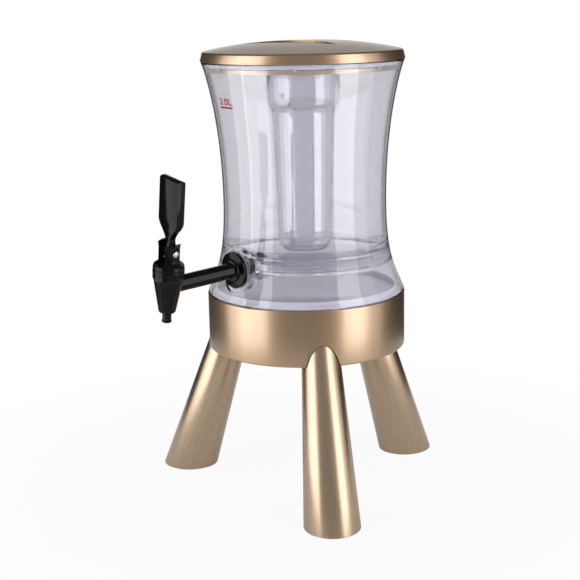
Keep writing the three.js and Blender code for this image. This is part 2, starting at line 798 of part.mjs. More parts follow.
// Tap body: a fluted cone with a nozzle, a side socket for the shank, and a bored valve chamber
function makeTapBody() {
  const profile = [
    [0, nozzleBottom],
    [nozzleRadius, nozzleBottom],
    [nozzleRadius + nozzleBead, nozzleBottom + nozzleBead],
    [nozzleRadius + nozzleBead, nozzleBottom + nozzleBeadTop],
    [nozzleRadius, nozzleBottom + nozzleBeadTop + nozzleBead],
    [nozzleRadius, bodyBottom - nozzleChamfer],
    [bodyBottomRadius - nozzleBead, bodyBottom - nozzleBead],
    [bodyBottomRadius, bodyBottom],
    [bodyShoulderRadius, bodyShoulder],
    [bodyTopRadius, bodyShoulder + nozzleBead],
    [bodyTopRadius, bodyTop],
    [0, bodyTop],
  ];
  const sides = fluteCount * 2;
  const points = profile.map(([r, z]) => new THREE.Vector2(r, z));
  const cone = new THREE.LatheGeometry(points, sides).rotateX(turn / 4);
  const position = cone.attributes.position;
  for (let i = 0; i < position.count; i++) {
    const [x, y, z] = [position.getX(i), position.getY(i), position.getZ(i)];
    const fluted = z > bodyBottom - fitGap && z < bodyShoulder + fitGap;
    const wave = (1 - Math.cos(fluteCount * Math.atan2(y, x))) / 2;
    const radius = Math.hypot(x, y);
    const scale = fluted && radius > 0 ? 1 - (fluteDepth * wave) / radius : 1;
    position.setXY(i, x * scale, y * scale);
  }
  const spigotHole = spigotRadius + fitGap;
  const bore = turned(
    [
      [0, nozzleBottom - overrun],
      [outletRadius, nozzleBottom - overrun],
      [outletRadius, seatBottom],
      [seatTopRadius, seatTop],
      [chamberRadius, chamberBottom],
      [chamberRadius, spigotBottom - fitGap],
      [spigotHole, spigotBottom - fitGap],
      [spigotHole, bodyTop + overrun],
      [0, bodyTop + overrun],
    ],
    smallSides,
  );
  const socket = alongMinusY(rod(threadHole, -bodyTopRadius - overrun, -socketEnd));
  const channel = alongMinusY(rod(shankBore, -socketEnd - overrun, 0));
  return solid(cone).subtract(bore).subtract(socket).subtract(channel);
}
addPiece("tap_body", makeTapBody(), blackPlastic, tapGroup);

// Bonnet: a ridged collar that screws into the body, and a hood whose two cheeks hold the lever's pin
const bonnetBase = bodyTop + fitGap;
const grooveBottom = bonnetBase + ridgeHeight;
function makeBonnet() {
  const outline = [
    [0, spigotBottom],
    [spigotRadius, spigotBottom],
    [spigotRadius, bonnetBase],
    [ridgeRadius - fitGap, bonnetBase],
    [ridgeRadius, bonnetBase + fitGap],
    [ridgeRadius, grooveBottom],
    [ridgeRadius - grooveDepth, grooveBottom + grooveDepth],
    [ridgeRadius - grooveDepth, grooveBottom + grooveWidth - grooveDepth],
    [ridgeRadius, grooveBottom + grooveWidth],
    [ridgeRadius - grooveDepth, collarTop],
    [hoodRadius + grooveDepth, hoodBottom - grooveDepth],
    [hoodRadius, hoodBottom],
    [hoodRadius, lowCheekTop - ridgeHeight],
    [hoodRadius + grooveDepth, tallCheekTop - cheekRound],
    [hoodRadius - cheekRound, tallCheekTop],
    [0, tallCheekTop],
  ];
  const reach = ridgeRadius + overrun;
  const above = tallCheekTop + overrun;
  const slot = block([-leverSlot / 2, leverSlot / 2], [-reach, reach], [slotBottom, above]);
  const lowSide = block([0, reach], [-reach, reach], [lowCheekTop, above]);
  const stemHole = rod(stemRadius + fitGap, spigotBottom - overrun, slotBottom + overrun);
  const pinRod = rod(pinRadius + fitGap, -reach, reach, tinySides);
  const pinHole = placed(alongX(pinRod), [0, 0, pinHeight]);
  return turned(outline, midSides)
    .subtract(slot)
    .subtract(lowSide)
    .subtract(stemHole)
    .subtract(pinHole);
}
addPiece("tap_bonnet", makeBonnet(), blackPlastic, tapGroup);

// Lever: a paddle on a neck, and a fork round the pin whose prongs lift the stem's head
function leverFront() {
  const [yoke, neck, paddle] = [yokeWidth / 2, neckWidth / 2, paddleWidth / 2];
  const shape = new THREE.Shape();
  const lower = (side) => [side * yoke, pinHeight + leverHubRadius];
  shape.moveTo(-yoke, pinHeight);
  shape.lineTo(...lower(-1));
  shape.lineTo(paddleShift - neck, neckHeightOnLever);
  shape.bezierCurveTo(
    paddleShift - neck,
    neckHeightOnLever + neckWidth,
    paddleShift - paddle,
    paddleShoulder - neckWidth,
    paddleShift - paddle,
    paddleShoulder,
  );
  shape.lineTo(paddleShift - paddle, paddleTop - paddleBevel);
  shape.lineTo(paddleShift - paddle + paddleBevel, paddleTop);
  shape.lineTo(paddleShift + paddle - paddleBevel, paddleTop);
  shape.lineTo(paddleShift + paddle, paddleTop - paddleBevel);
  shape.lineTo(paddleShift + paddle, paddleShoulder);
  shape.bezierCurveTo(
    paddleShift + paddle,
    paddleShoulder - neckWidth,
    paddleShift + neck,
    neckHeightOnLever + neckWidth,
    paddleShift + neck,
    neckHeightOnLever,
  );
  shape.lineTo(...lower(1));
  shape.lineTo(yoke, pinHeight);
  shape.closePath();
  return shape;
}
function leverSide() {
  const [neck, paddle] = [neckThickness / 2, paddleThickness / 2];
  const shape = new THREE.Shape();
  shape.moveTo(-leverHubRadius, pinHeight);
  shape.lineTo(-leverHubRadius, pinHeight + leverHubRadius / 2);
  shape.lineTo(-neck, neckHeightOnLever);
  shape.lineTo(-paddle, paddleShoulder);
  shape.lineTo(-paddle, paddleTop - paddleCrest);
  shape.quadraticCurveTo(-paddle, paddleTop, 0, paddleTop);
  shape.quadraticCurveTo(paddle, paddleTop, paddle, paddleTop - paddleCrest);
  shape.lineTo(paddle, paddleShoulder);
  shape.lineTo(neck, neckHeightOnLever);
  shape.lineTo(leverHubRadius, pinHeight + leverHubRadius / 2);
  shape.lineTo(leverHubRadius, pinHeight);
  shape.closePath();
  return shape;
}
const stemHeadTop = pinHeight - stemHeadDrop;
const prongTop = stemHeadTop - stemHeadThickness - fitGap;
function makeLever() {
  const upright = (shape, bearing) =>
    placed(extruded(shape, -paddleWidth, paddleWidth), [0, 0, 0], [turn / 4, 0, bearing]);
  const frontBlade = upright(leverFront(), 0);
  const sideBlade = upright(leverSide(), turn / 4);
  const [yoke, gap, stemGap] = [yokeWidth / 2, yokeGap / 2, stemRadius + fitGap];
  const pinHole = pinRadius + fitGap;
  const hub = placed(alongX(rod(leverHubRadius, -yoke, yoke)), [0, 0, pinHeight]);
  const fork = block([-yoke, yoke], [-prongReach, prongReach], [prongTop - prongThickness, pinHeight]);
  const headRoom = block([-gap, gap], [-yokeWidth, yokeWidth], [prongTop, pinHeight + pinHole]);
  const stemRoom = block(
    [-stemGap, stemGap],
    [-yokeWidth, yokeWidth],
    [prongTop - prongThickness - overrun, prongTop + fitGap],
  );
  const bore = placed(alongX(rod(pinHole, -yokeWidth, yokeWidth, tinySides)), [0, 0, pinHeight]);
  return frontBlade
    .intersect(sideBlade)
    .add(hub)
    .add(fork)
    .subtract(headRoom)
    .subtract(stemRoom)
    .subtract(bore);
}
addPiece("tap_lever", makeLever(), blackPlastic, tapGroup);

const pinShaft = rod(pinRadius, -hoodRadius, hoodRadius + pinHeadThickness, tinySides);
const pinHead = rod(
  pinHeadRadius,
  hoodRadius + fitGap,
  hoodRadius + fitGap + pinHeadThickness,
  smallSides,
  pinHeadRadius - pinHeadThickness / 2,
);
addPiece("lever_pin", placed(alongX(pinShaft.add(pinHead)), [0, 0, pinHeight]), steel, tapGroup);

// Valve: a stem with a tee head, a soft cone that closes the seat, and the spring that holds it down
function makeStem() {
  const headBottom = stemHeadTop - stemHeadThickness;
  const shaft = rod(stemRadius, valveCore + fitGap, headBottom + stemHeadThickness / 2);
  const [across, along] = [stemHeadWidth / 2, stemHeadLength / 2];
  return shaft.add(block([-across, across], [-along, along], [headBottom, stemHeadTop]));
}
addPiece("valve_stem", makeStem(), steel, tapGroup);
addPiece(
  "valve_seal",
  turned(
    [
      [0, seatBottom + seatLift],
      [outletRadius, seatBottom + seatLift],
      [seatTopRadius, seatTop + seatLift],
      [seatTopRadius, valveTop],
      [stemRadius + fitGap, valveTop],
      [stemRadius + fitGap, valveCore],
      [0, valveCore],
    ],
    smallSides,
  ),
  silicone,
  tapGroup,
);

class Helix extends THREE.Curve {
  getPoint(t, target = new THREE.Vector3()) {
    const angle = turn * springTurns * t;
    const bottom = valveTop + fitGap + springWire;
    const top = spigotBottom - fitGap - springWire;
    return target.set(
      springRadius * Math.cos(angle),
      springRadius * Math.sin(angle),
      bottom + (top - bottom) * t,
    );
  }
}
const wire = new THREE.Shape().absarc(0, 0, springWire, 0, turn, false);
const springSolid = solid(
  new THREE.ExtrudeGeometry(wire, {
    extrudePath: new Helix(),
    steps: springTurns * springSteps,
    curveSegments: 3,
    bevelEnabled: false,
  }),
);
addPiece("valve_spring", springSolid, steel, tapGroup);

export default assembly;
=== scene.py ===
# Draft beer dispenser, dressed for rendering: a clear waisted vessel with an ice tube in it, on a
# champagne base drum with three splayed legs, under a champagne lid, with a black lever tap.
# Shapes are worked out in millimetres and brought to metres as each piece is finished.
import json
import math

import bmesh
import bpy
from mathutils import Matrix, Vector
from mathutils.geometry import interpolate_bezier


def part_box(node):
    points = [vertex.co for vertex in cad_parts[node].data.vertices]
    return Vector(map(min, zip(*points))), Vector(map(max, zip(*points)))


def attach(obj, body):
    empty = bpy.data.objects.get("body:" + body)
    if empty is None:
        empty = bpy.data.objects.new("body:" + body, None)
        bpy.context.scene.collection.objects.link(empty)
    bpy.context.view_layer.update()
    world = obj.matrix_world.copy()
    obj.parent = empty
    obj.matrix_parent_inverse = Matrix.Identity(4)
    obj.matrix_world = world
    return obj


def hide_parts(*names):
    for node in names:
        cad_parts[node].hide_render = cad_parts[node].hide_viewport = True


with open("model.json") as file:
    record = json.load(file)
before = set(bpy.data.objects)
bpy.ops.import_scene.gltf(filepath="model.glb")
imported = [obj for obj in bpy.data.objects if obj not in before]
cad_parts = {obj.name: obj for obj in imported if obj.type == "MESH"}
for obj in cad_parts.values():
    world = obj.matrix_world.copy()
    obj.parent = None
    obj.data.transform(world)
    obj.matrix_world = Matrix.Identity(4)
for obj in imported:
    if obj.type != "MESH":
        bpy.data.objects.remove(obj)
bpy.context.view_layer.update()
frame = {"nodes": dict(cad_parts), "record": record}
nodes = frame["nodes"]
mm = 0.001
turn = 2 * math.pi


def cad_range(node, axis):
    """Lowest and highest coordinate of a CAD node along one axis, in millimetres."""
    low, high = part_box(node)
    return low[axis] / mm, high[axis] / mm


# ---------------------------------------------------------------- sizes, in millimetres
fit_gap = 0.3
wide_sides = 144
mid_sides = 96
small_sides = 48

leg_count = 3
leg_bearing = math.radians(-32.4)
leg_tilt = math.radians(18.9)
leg_foot_radius = 26.8
leg_taper = 0.054
leg_wall = 2.6
leg_cap = 14
leg_edge = 0.7
leg_bottom = cad_range("leg_1", 2)[0]
leg_top_inset = 24.76
stud_hole_radius = 4.3
stud_hole_depth = 12.3
pad_height = 9
pad_edge = 0.4

drum_bottom, drum_top = cad_range("base_drum", 2)
drum_radius = 97
leg_in_drum = 36
leg_length = (drum_bottom + leg_in_drum) / math.cos(leg_tilt)
foot_circle = drum_radius - leg_top_inset + leg_length * math.sin(leg_tilt)
drum_wall = 2.6
drum_bevel = 1.1
drum_edge = 0.45
drum_ledge = 4.6
shelf_width = 4
shelf_thickness = 2.4
notch_gap = 0.9
deck_thickness = 3
deck_edge = 0.3
under_shelf = 0.6
socket_depth = 28
socket_wall = 3
collar_radius = 89.2
collar_wall = 2.4
collar_height = 5.6
catch_half = math.radians(9)
catch_depth = 1.8
catch_height = 2.2
screw_circle = 81
screw_hole_radius = 2.05
screw_post_radius = 4.8
screw_post_length = 12.7
bracket_radius = 7.2
bracket_in_wall = 1.3
bracket_top = drum_top - deck_thickness - screw_post_length - fit_gap
bracket_thickness = 2.6

vessel_top = cad_range("vessel", 2)[1]
vessel_wall = 2.6
vessel_edge = 0.5
lip_height = drum_top + 0.06
lip_radius = 96.9
lip_flare = 8.19
lip_flare_height = 21
waist_radius = 79.5
waist_height = 288
waist_run_down = 58.5
waist_run_up = 74
rim_radius = 97.6
rim_run = 10
rim_round = 0.7
rim_slope = 0.44
floor_radius = 62
floor_height = 232
floor_thickness = 3.2
floor_bottom = floor_height - floor_thickness
bowl_height = 18

cup_radius = 35.7
cup_bottom = 385.8
neck_radius = 29.9
neck_height = 368
tube_foot_radius = 27
tube_bottom, tube_top = cad_range("ice_tube", 2)
tube_corner = 13.5
tube_wall = 2
tube_edge = 0.4
lug_height = 2.8
lug_depth = 1.7
lug_inset = 3.4
lug_top = tube_top - lug_inset
lug_half = math.radians(14)

cap_bottom, cap_top = cad_range("lid_cap", 2)
cap_radius = 98
cap_shoulder_radius = 96
cap_shoulder = 430.9
cap_round = 1
dome_power = 2.4
cap_wall = 2.4
cap_edge = 0.5
handle_bearing = math.radians(22.7)
pocket_half_length = 50
pocket_inner = 8
pocket_outer = 37.4
pocket_tips = 30.5
pocket_width_share = 0.985
liner_bottom = cap_bottom + fit_gap
liner_thickness = 2.2
pocket_floor = liner_bottom + liner_thickness + fit_gap + cap_wall
plug_radius = 91.23
plug_wall = 2.2
liner_edge = 0.25
entry_share = 1.15
plug_bottom = cad_range("lid_liner", 2)[0]
ledge_bottom = 413
seal_bottom, seal_top = cad_range("lid_seal", 2)
seal_width = 2
seal_clearance = 0.6
seal_edge = 0.25
rib_count = 8
rib_half = math.radians(0.6)
rib_depth = 0.15
pip_count = 7
pip_half = math.radians(0.8)
pip_drop = 1.6
pip_bearing = math.radians(-45.4)
tube_collar_wall = 3.4
gasket_width = 2.4

shank_height = 233.7
shank_droop = math.radians(2.3)
shank_radius = 7.5
shank_bore = 3.4
shank_edge = 0.5
seat_distance = 86.013
seat_to_inner_seat = 16
inner_seat_distance = seat_distance - seat_to_inner_seat
shank_inside = 13
shank_inlet = inner_seat_distance - shank_inside
inlet_room = 5
sump_end = shank_inlet - inlet_room
pad_depth = 8
pad_start = seat_distance - pad_depth
seat_radius = 21
inner_seat_radius = 12.4
washer_radius = 18.2
washer_thickness = 1.7
washer_edge = 0.4
flange_start = seat_distance + fit_gap + washer_thickness + fit_gap
flange_radius = 17.4
flange_thickness = 3.3
hub_radius = 10.5
hub_thickness = 2.6
inner_washer_radius = 10.6
inner_washer_thickness = 2
nut_across_corners = 20.8
nut_thickness = 7
nut_edge = 0.5

seat_to_tap = 80.6
tap_reach = seat_distance + seat_to_tap
shank_from_tap = 9.3
tap_twist = math.radians(10.4)
body_top = 13.4
body_top_radius = 14.4
body_shoulder = 8.5
body_shoulder_radius = 13.9
body_bottom = -24.2
body_bottom_radius = 7.9
flute_count = 16
flute_depth = 0.5
nozzle_radius = 4.2
nozzle_chamfer = 2.6
nozzle_bottom = -35
nozzle_bead = 0.4
nozzle_bead_height = 1.6
outlet_radius = 2.8
outlet_top = -19
throat_radius = 5.6
throat_bottom = -15
valve_room_radius = 7
valve_room_bottom = -9
spigot_room_radius = 10.5
spigot_room_bottom = 8
ridge_radius = 14.6
ridge_height = 3
groove_depth = 0.7
collar_top = 21.6
hood_radius = 9.7
hood_bottom = 25
bonnet_edge = 0.35
tall_cheek = 44.2
low_cheek = 41
cheek_round = 1.6
lever_slot = 10
slot_bottom = 22.4
spigot_radius = 10.2
spigot_bottom = 8.3
pin_height = 33.7
pin_radius = 1.5
pin_head_radius = 3
pin_head_edge = 0.5
pin_head_dome = 0.9
lever_hub_radius = 4.4
yoke_width = 9.2
yoke_gap = 6.2
paddle_width = 27.3
paddle_shift = 1.1
paddle_thickness = 8
paddle_top = 103
paddle_shoulder = 63.8
neck_on_lever = 45
neck_width = 6.3
neck_thickness = 6.4
paddle_bevel = 0.9
lever_edge = 0.8
paddle_crest = 2.2
hub_margin = 0.1
foot_margin = 0.4
stem_radius = 1.5
prong_top = 28.7
prong_thickness = 2
prong_reach = 3

mark_height = 381.5
mark_bearing = math.radians(-95.9)
mark_lift = 0.06
ink_thickness = 0.06
letter_size = 8.6
letter_swelling = 0.16
letter_stretch = 1.35
letter_rise = 2.6
mark_line = (20, 1.6)

on_shank = Matrix.Translation((0, 0, shank_height)) @ Matrix.Rotation(shank_droop, 4, "X")
along_shank = on_shank @ Matrix.Rotation(turn / 4, 4, "X")
on_tap = on_shank @ Matrix.Translation((0, -tap_reach, 0)) @ Matrix.Rotation(tap_twist, 4, "Y")
along_x = Matrix.Rotation(turn / 4, 4, "Y")
leg_bearings = [leg_bearing + turn * i / leg_count for i in range(leg_count)]
leg_frames = [
    Matrix.Rotation(bearing, 4, "Z")
    @ Matrix.Translation((foot_circle, 0, 0))
    @ Matrix.Rotation(-leg_tilt, 4, "Y")
    for bearing in leg_bearings
]


# ---------------------------------------------------------------- camera
# Solved from the circles of the drum and the lid and from the three feet. The bearing says how far
# round from the tap, towards +X, the camera stands.
camera_bearing = math.radians(48.7)
camera_distance = 1254.58
camera_height = 483.51
camera_yaw = -0.0128
camera_pitch = 0.2249
camera_roll = -0.019
sensor_width = 36
focal_pixels = 1297.02
image_width = 580

# Brightness of the surroundings: in mirror reflections on the camera's side, for matt surfaces, and
# for light that a matt surface has already scattered
room_level = 0.28
diffuse_level = 0.55
inside_level = 2.7
table_radius = 0.55  # in metres


def add_camera():
    view = Vector((
        math.sin(camera_yaw) * math.cos(camera_pitch),
        math.cos(camera_yaw) * math.cos(camera_pitch),
        -math.sin(camera_pitch),
    ))
    level = Vector((math.cos(camera_yaw), -math.sin(camera_yaw), 0))
    rise = level.cross(view)
    right = math.cos(camera_roll) * level + math.sin(camera_roll) * rise
    top = math.cos(camera_roll) * rise - math.sin(camera_roll) * level
    axes = Matrix((right, top, -view)).transposed().to_4x4()
    place = Matrix.Translation((0, -camera_distance * mm, camera_height * mm))
    data = bpy.data.cameras.new("camera")
    data.sensor_width = sensor_width
    data.lens = sensor_width * focal_pixels / image_width
    camera = bpy.data.objects.new("camera", data)
    camera.matrix_world = Matrix.Rotation(camera_bearing, 4, "Z") @ place @ axes
    bpy.context.scene.collection.objects.link(camera)
    bpy.context.scene.camera = camera


# ---------------------------------------------------------------- materials
def linear(code):
    """An sRGB hex colour such as C8A987 as linear RGBA."""
    shares = [int(code[at:at + 2], 16) / 255 for at in (0, 2, 4)]
    return [s / 12.92 if s <= 0.04045 else ((s + 0.055) / 1.055) ** 2.4 for s in shares] + [1]


def add(tree, kind, settings, links):
    """Adds a node; settings go to its properties or inputs, links join its inputs to outputs."""
    node = tree.nodes.new(kind)
    for key, value in settings.items():
        if isinstance(key, str) and hasattr(node, key):
            setattr(node, key, value)
        else:
            node.inputs[key].default_value = value
    for key, output in links.items():
        tree.links.new(output, node.inputs[key])
    return node


def blank(name):
    made = bpy.data.materials.new(name)
    made.use_nodes = True
    made.node_tree.nodes.clear()
    return made, made.node_tree


def surface(tree, shader):
    add(tree, "ShaderNodeOutputMaterial", {}, {"Surface": shader.outputs[0]})


def coordinates(tree, place=None):
    """Object coordinates, turned into a piece's own frame where a placing matrix is given."""
    seen = add(tree, "ShaderNodeTexCoord", {}, {}).outputs["Object"]
    if place is None:
        return seen
    back = place.inverted()
    settings = {"Location": back.translation * mm, "Rotation": back.to_euler()}
    return add(tree, "ShaderNodeMapping", settings, {"Vector": seen}).outputs[0]


def brushing(tree, vector, radius, around, along):
    """Noise drawn out over a turned surface: its grain's size round the axis and along it, in mm."""
    parts = add(tree, "ShaderNodeSeparateXYZ", {}, {0: vector})
    flat = add(tree, "ShaderNodeCombineXYZ", {}, {0: parts.outputs[0], 1: parts.outputs[1]})
    outward = add(tree, "ShaderNodeVectorMath", {"operation": "NORMALIZE"}, {0: flat.outputs[0]})
    wide = add(tree, "ShaderNodeVectorMath", {"operation": "SCALE", "Scale": radius / around},
               {0: outward.outputs[0]})
    long = add(tree, "ShaderNodeMath", {"operation": "DIVIDE", 1: along * mm}, {0: parts.outputs[2]})
    spread = add(tree, "ShaderNodeSeparateXYZ", {}, {0: wide.outputs[0]})
    both = add(tree, "ShaderNodeCombineXYZ", {},
               {0: spread.outputs[0], 1: spread.outputs[1], 2: long.outputs[0]})
    return add(tree, "ShaderNodeTexNoise", {"Scale": 1.0, "Detail": 3.0, "Roughness": 0.6},
               {"Vector": both.outputs[0]}).outputs[0]


def moulded_acrylic(name, face, edge_shade, **settings):
    """Injection-moulded acrylic: clear with a faint lavender cast that gathers in thick walls, and a painted
    shade that turns its colour nearly black where a wall is seen at a grazing angle; shrinkage leaves a
    barely seen ripple, and handling some haze."""
    made, tree = blank(name)
    place = coordinates(tree)
    ripple = add(tree, "ShaderNodeTexNoise", {"Scale": 1 / (30 * mm), "Detail": 1.0}, {"Vector": place})
    haze = add(tree, "ShaderNodeTexNoise", {"Scale": 1 / (9 * mm), "Detail": 4.0}, {"Vector": place})
    rough = add(tree, "ShaderNodeMapRange",
                {"From Min": 0.45, "From Max": 0.75, "To Min": 0.0, "To Max": 0.035},
                {"Value": haze.outputs[0]})
    bump = add(tree, "ShaderNodeBump", {"Strength": 0.05, "Distance": 0.5 * mm},
               {"Height": ripple.outputs[0]})
    # Painted shade: the colour darkens towards the second, near-black colour where a wall is seen at a
    # grazing angle
    facing = add(tree, "ShaderNodeLayerWeight", {"Blend": 0.5}, {})
    edge_shade_mask = add(tree, "ShaderNodeMapRange",
                  {"interpolation_type": "SMOOTHSTEP", "From Min": 0.66, "From Max": 0.86},
                  {"Value": facing.outputs["Facing"]})
    height = add(tree, "ShaderNodeSeparateXYZ", {}, {0: place}).outputs[2]
    # The painted shade is weaker at the floor and its rounded corner than in the tall walls
    edge_shade_by_height = add(tree, "ShaderNodeMapRange",
               {"From Min": floor_height * mm, "From Max": (floor_height + bowl_height) * mm,
                "To Min": 0.35, "To Max": 1.0}, {"Value": height})
    edge_shade_mask = add(tree, "ShaderNodeMath", {"operation": "MULTIPLY"},
                  {0: edge_shade_mask.outputs[0], 1: edge_shade_by_height.outputs[0]})
    tint_and_edge_shade = add(tree, "ShaderNodeMix", {"data_type": "RGBA", 6: linear(face), 7: linear(edge_shade)},
               {0: edge_shade_mask.outputs[0]})
    settings.update({"Transmission Weight": 1.0, "IOR": 1.49})
    body = add(tree, "ShaderNodeBsdfPrincipled", settings, {
        "Base Color": tint_and_edge_shade.outputs[2], "Roughness": rough.outputs[0], "Normal": bump.outputs[0]})
    inside = add(tree, "ShaderNodeVolumeAbsorption", {"Color": linear("CDCCD6"), "Density": 14.0}, {})
    add(tree, "ShaderNodeOutputMaterial", {}, {"Surface": body.outputs[0], "Volume": inside.outputs[0]})
    return made


def satin_champagne(name, light, dark):
    """Pearl lacquer sprayed on the ABS drum and lid: a satin gloss in which fine metal flake gives
    a soft grain and a slightly uneven depth of colour."""
    made, tree = blank(name)
    place = coordinates(tree)
    flake = add(tree, "ShaderNodeTexNoise", {"Scale": 1 / (0.5 * mm), "Detail": 2.0}, {"Vector": place})
    cloud = add(tree, "ShaderNodeTexNoise", {"Scale": 1 / (35 * mm), "Detail": 3.0}, {"Vector": place})
    colour = add(tree, "ShaderNodeMix", {"data_type": "RGBA", 6: linear(dark), 7: linear(light)},
                 {0: cloud.outputs[0]})
    rough = add(tree, "ShaderNodeMapRange", {"To Min": 0.3, "To Max": 0.4}, {"Value": flake.outputs[0]})
    bump = add(tree, "ShaderNodeBump", {"Strength": 0.12, "Distance": 0.05 * mm},
               {"Height": flake.outputs[0]})
    coat = {"Metallic": 1.0, "Coat Weight": 1.0, "Coat Roughness": 0.22, "Coat IOR": 2.0}
    surface(tree, add(tree, "ShaderNodeBsdfPrincipled", coat, {
        "Base Color": colour.outputs[2], "Roughness": rough.outputs[0], "Normal": bump.outputs[0]}))
    return made


def brushed_champagne(name, place, radius, around, along):
    """Champagne-anodised aluminium tube, brushed along its length: fine bright and dark lines
    that scatter a highlight sideways. The lines are drawn 0.8 mm wide, coarser than the real
    0.1 mm, so that they show."""
    made, tree = blank(name)
    lines = brushing(tree, coordinates(tree, place), radius, around, along)
    colour = add(tree, "ShaderNodeMix", {"data_type": "RGBA", 6: linear("BFA282"), 7: linear("DAC1A6")},
                 {0: lines})
    rough = add(tree, "ShaderNodeMapRange", {"To Min": 0.22, "To Max": 0.36}, {"Value": lines})
    bump = add(tree, "ShaderNodeBump", {"Strength": 0.18, "Distance": 0.08 * mm}, {"Height": lines})
    coat = {"Metallic": 1.0, "Coat Weight": 0.6, "Coat Roughness": 0.2, "Coat IOR": 1.7}
    surface(tree, add(tree, "ShaderNodeBsdfPrincipled", coat, {
        "Base Color": colour.outputs[2], "Roughness": rough.outputs[0], "Normal": bump.outputs[0]}))
    return made


def moulded(name, light, dark, low_gloss, high_gloss, grain, **settings):
    """Moulded plastics and rubbers: a mould's fine texture, and rubbed and dull places in it."""
    made, tree = blank(name)
    place = coordinates(tree)
    texture = add(tree, "ShaderNodeTexNoise", {"Scale": 1 / (grain * mm), "Detail": 2.0}, {"Vector": place})
    rubbed = add(tree, "ShaderNodeTexNoise", {"Scale": 1 / (14 * mm), "Detail": 3.0}, {"Vector": place})
    colour = add(tree, "ShaderNodeMix", {"data_type": "RGBA", 6: linear(dark), 7: linear(light)},
                 {0: rubbed.outputs[0]})
    rough = add(tree, "ShaderNodeMapRange", {"From Min": 0.3, "From Max": 0.7, "To Min": low_gloss,
                                             "To Max": high_gloss}, {"Value": rubbed.outputs[0]})
    bump = add(tree, "ShaderNodeBump", {"Strength": 0.15, "Distance": 0.06 * mm},
               {"Height": texture.outputs[0]})
    surface(tree, add(tree, "ShaderNodeBsdfPrincipled", settings, {
        "Base Color": colour.outputs[2], "Roughness": rough.outputs[0], "Normal": bump.outputs[0]}))
    return made


def turned_steel():
    """Stainless screws, studs, spring and pin: bright metal with the fine uneven grain of tooling."""
    made, tree = blank("turned_steel")
    marks = add(tree, "ShaderNodeTexNoise", {"Scale": 1 / (0.4 * mm), "Detail": 3.0},
                {"Vector": coordinates(tree)})
    rough = add(tree, "ShaderNodeMapRange", {"To Min": 0.14, "To Max": 0.32}, {"Value": marks.outputs[0]})
    bump = add(tree, "ShaderNodeBump", {"Strength": 0.1, "Distance": 0.03 * mm}, {"Height": marks.outputs[0]})
    surface(tree, add(tree, "ShaderNodeBsdfPrincipled", {"Base Color": linear("C9CACC"), "Metallic": 1.0},
                      {"Roughness": rough.outputs[0], "Normal": bump.outputs[0]}))
    return made


# The second colour of each acrylic is a painted shade, near black, shown where a wall is seen at a grazing
# angle
clear = moulded_acrylic("moulded_acrylic", "E4E4E8", "100E1A")
tube_clear = moulded_acrylic(
    "moulded_acrylic_thin", "EEEEF2", "2A2833",
    **{"Coat Weight": 1.0, "Coat IOR": 1.9, "Coat Roughness": 0.03},
)
paint = satin_champagne("satin_champagne_lacquer", "C5A27E", "B9956F")
pale_paint = satin_champagne("satin_champagne_liner", "CFBBA3", "C3AE96")
leg_metals = [
    brushed_champagne(f"brushed_champagne_{i + 1}", frame_of_leg, leg_foot_radius, 0.8, 24)
    for i, frame_of_leg in enumerate(leg_frames)
]
# Polypropylene from a polished mould: opaque white, and mirror-like when seen at a low angle
white = moulded("moulded_polypropylene", "D6D5DE", "CFCED8", 0.1, 0.2, 0.8)
# Silicone seals: milky, soft to the eye, with some light passing through
silicone = moulded(
    "milky_silicone", "E6E5EA", "DEDDE3", 0.12, 0.2, 0.6, **{"Transmission Weight": 0.2})
# Clear silicone of the tap's washers: a skin of light on a nearly invisible body
clear_silicone = moulded(
    "clear_silicone", "F4F4F8", "ECECF2", 0.08, 0.15, 0.6, **{"Transmission Weight": 0.9})
# Black ABS of the tap: a polished mould, so highlights stay small and sharp
black = moulded(
    "polished_black_abs", "070707", "040404", 0.05, 0.12, 0.5, **{"Specular IOR Level": 0.22})
rubber = moulded("black_rubber", "262625", "1C1C1C", 0.6, 0.8, 0.7)
steel = turned_steel()
# Pad-printed ink: flat red with thin places
ink = moulded("printed_red_ink", "960814", "840610", 0.4, 0.55, 0.4, **{"Specular IOR Level": 0.2})

finishes = {
    "clear_plastic": clear, "drum_coating": paint, "leg_coating": paint, "white_plastic": white,
    "silicone": silicone, "black_plastic": black, "rubber": rubber, "steel": steel,
}
for row in frame["record"]["subparts"]:
    held = nodes[row["node"]].data.materials
    held.clear()
    held.append(finishes[row["material_slot"]])


# ---------------------------------------------------------------- modelling tools
def spun(outline, sides, closed=False, angle=turn):
    """Turns a line of (radius, height) points about Z; closed joins its last point to its first."""
    bm = bmesh.new()
    verts = [bm.verts.new((radius, 0, height)) for radius, height in outline]
    pairs = list(zip(verts, verts[1:])) + ([(verts[-1], verts[0])] if closed else [])
    edges = [bm.edges.new(pair) for pair in pairs]
    whole = angle == turn
    bmesh.ops.spin(
        bm, geom=verts + edges, cent=(0, 0, 0), axis=(0, 0, 1), angle=angle, steps=sides, use_merge=whole
    )
    bmesh.ops.remove_doubles(bm, verts=bm.verts, dist=1e-4)
    if not whole:
        bmesh.ops.holes_fill(bm, edges=bm.edges, sides=len(outline))
    bmesh.ops.recalc_face_normals(bm, faces=bm.faces)
    return bm


def rod(radius, low, high, sides=small_sides):
    return spun([(0, low), (radius, low), (radius, high), (0, high)], sides)


def ring(inner, outer, low, high, sides=mid_sides):
    return spun([(inner, low), (outer, low), (outer, high), (inner, high)], sides, closed=True)


def sector(inner, outer, half_angle, bearing, low, high):
    """Part of a flat ring, centred on a bearing."""
    outline = [(inner, low), (outer, low), (outer, high), (inner, high)]
    bm = spun(outline, 8, closed=True, angle=2 * half_angle)
    return moved(bm, Matrix.Rotation(bearing - half_angle, 4, "Z"))


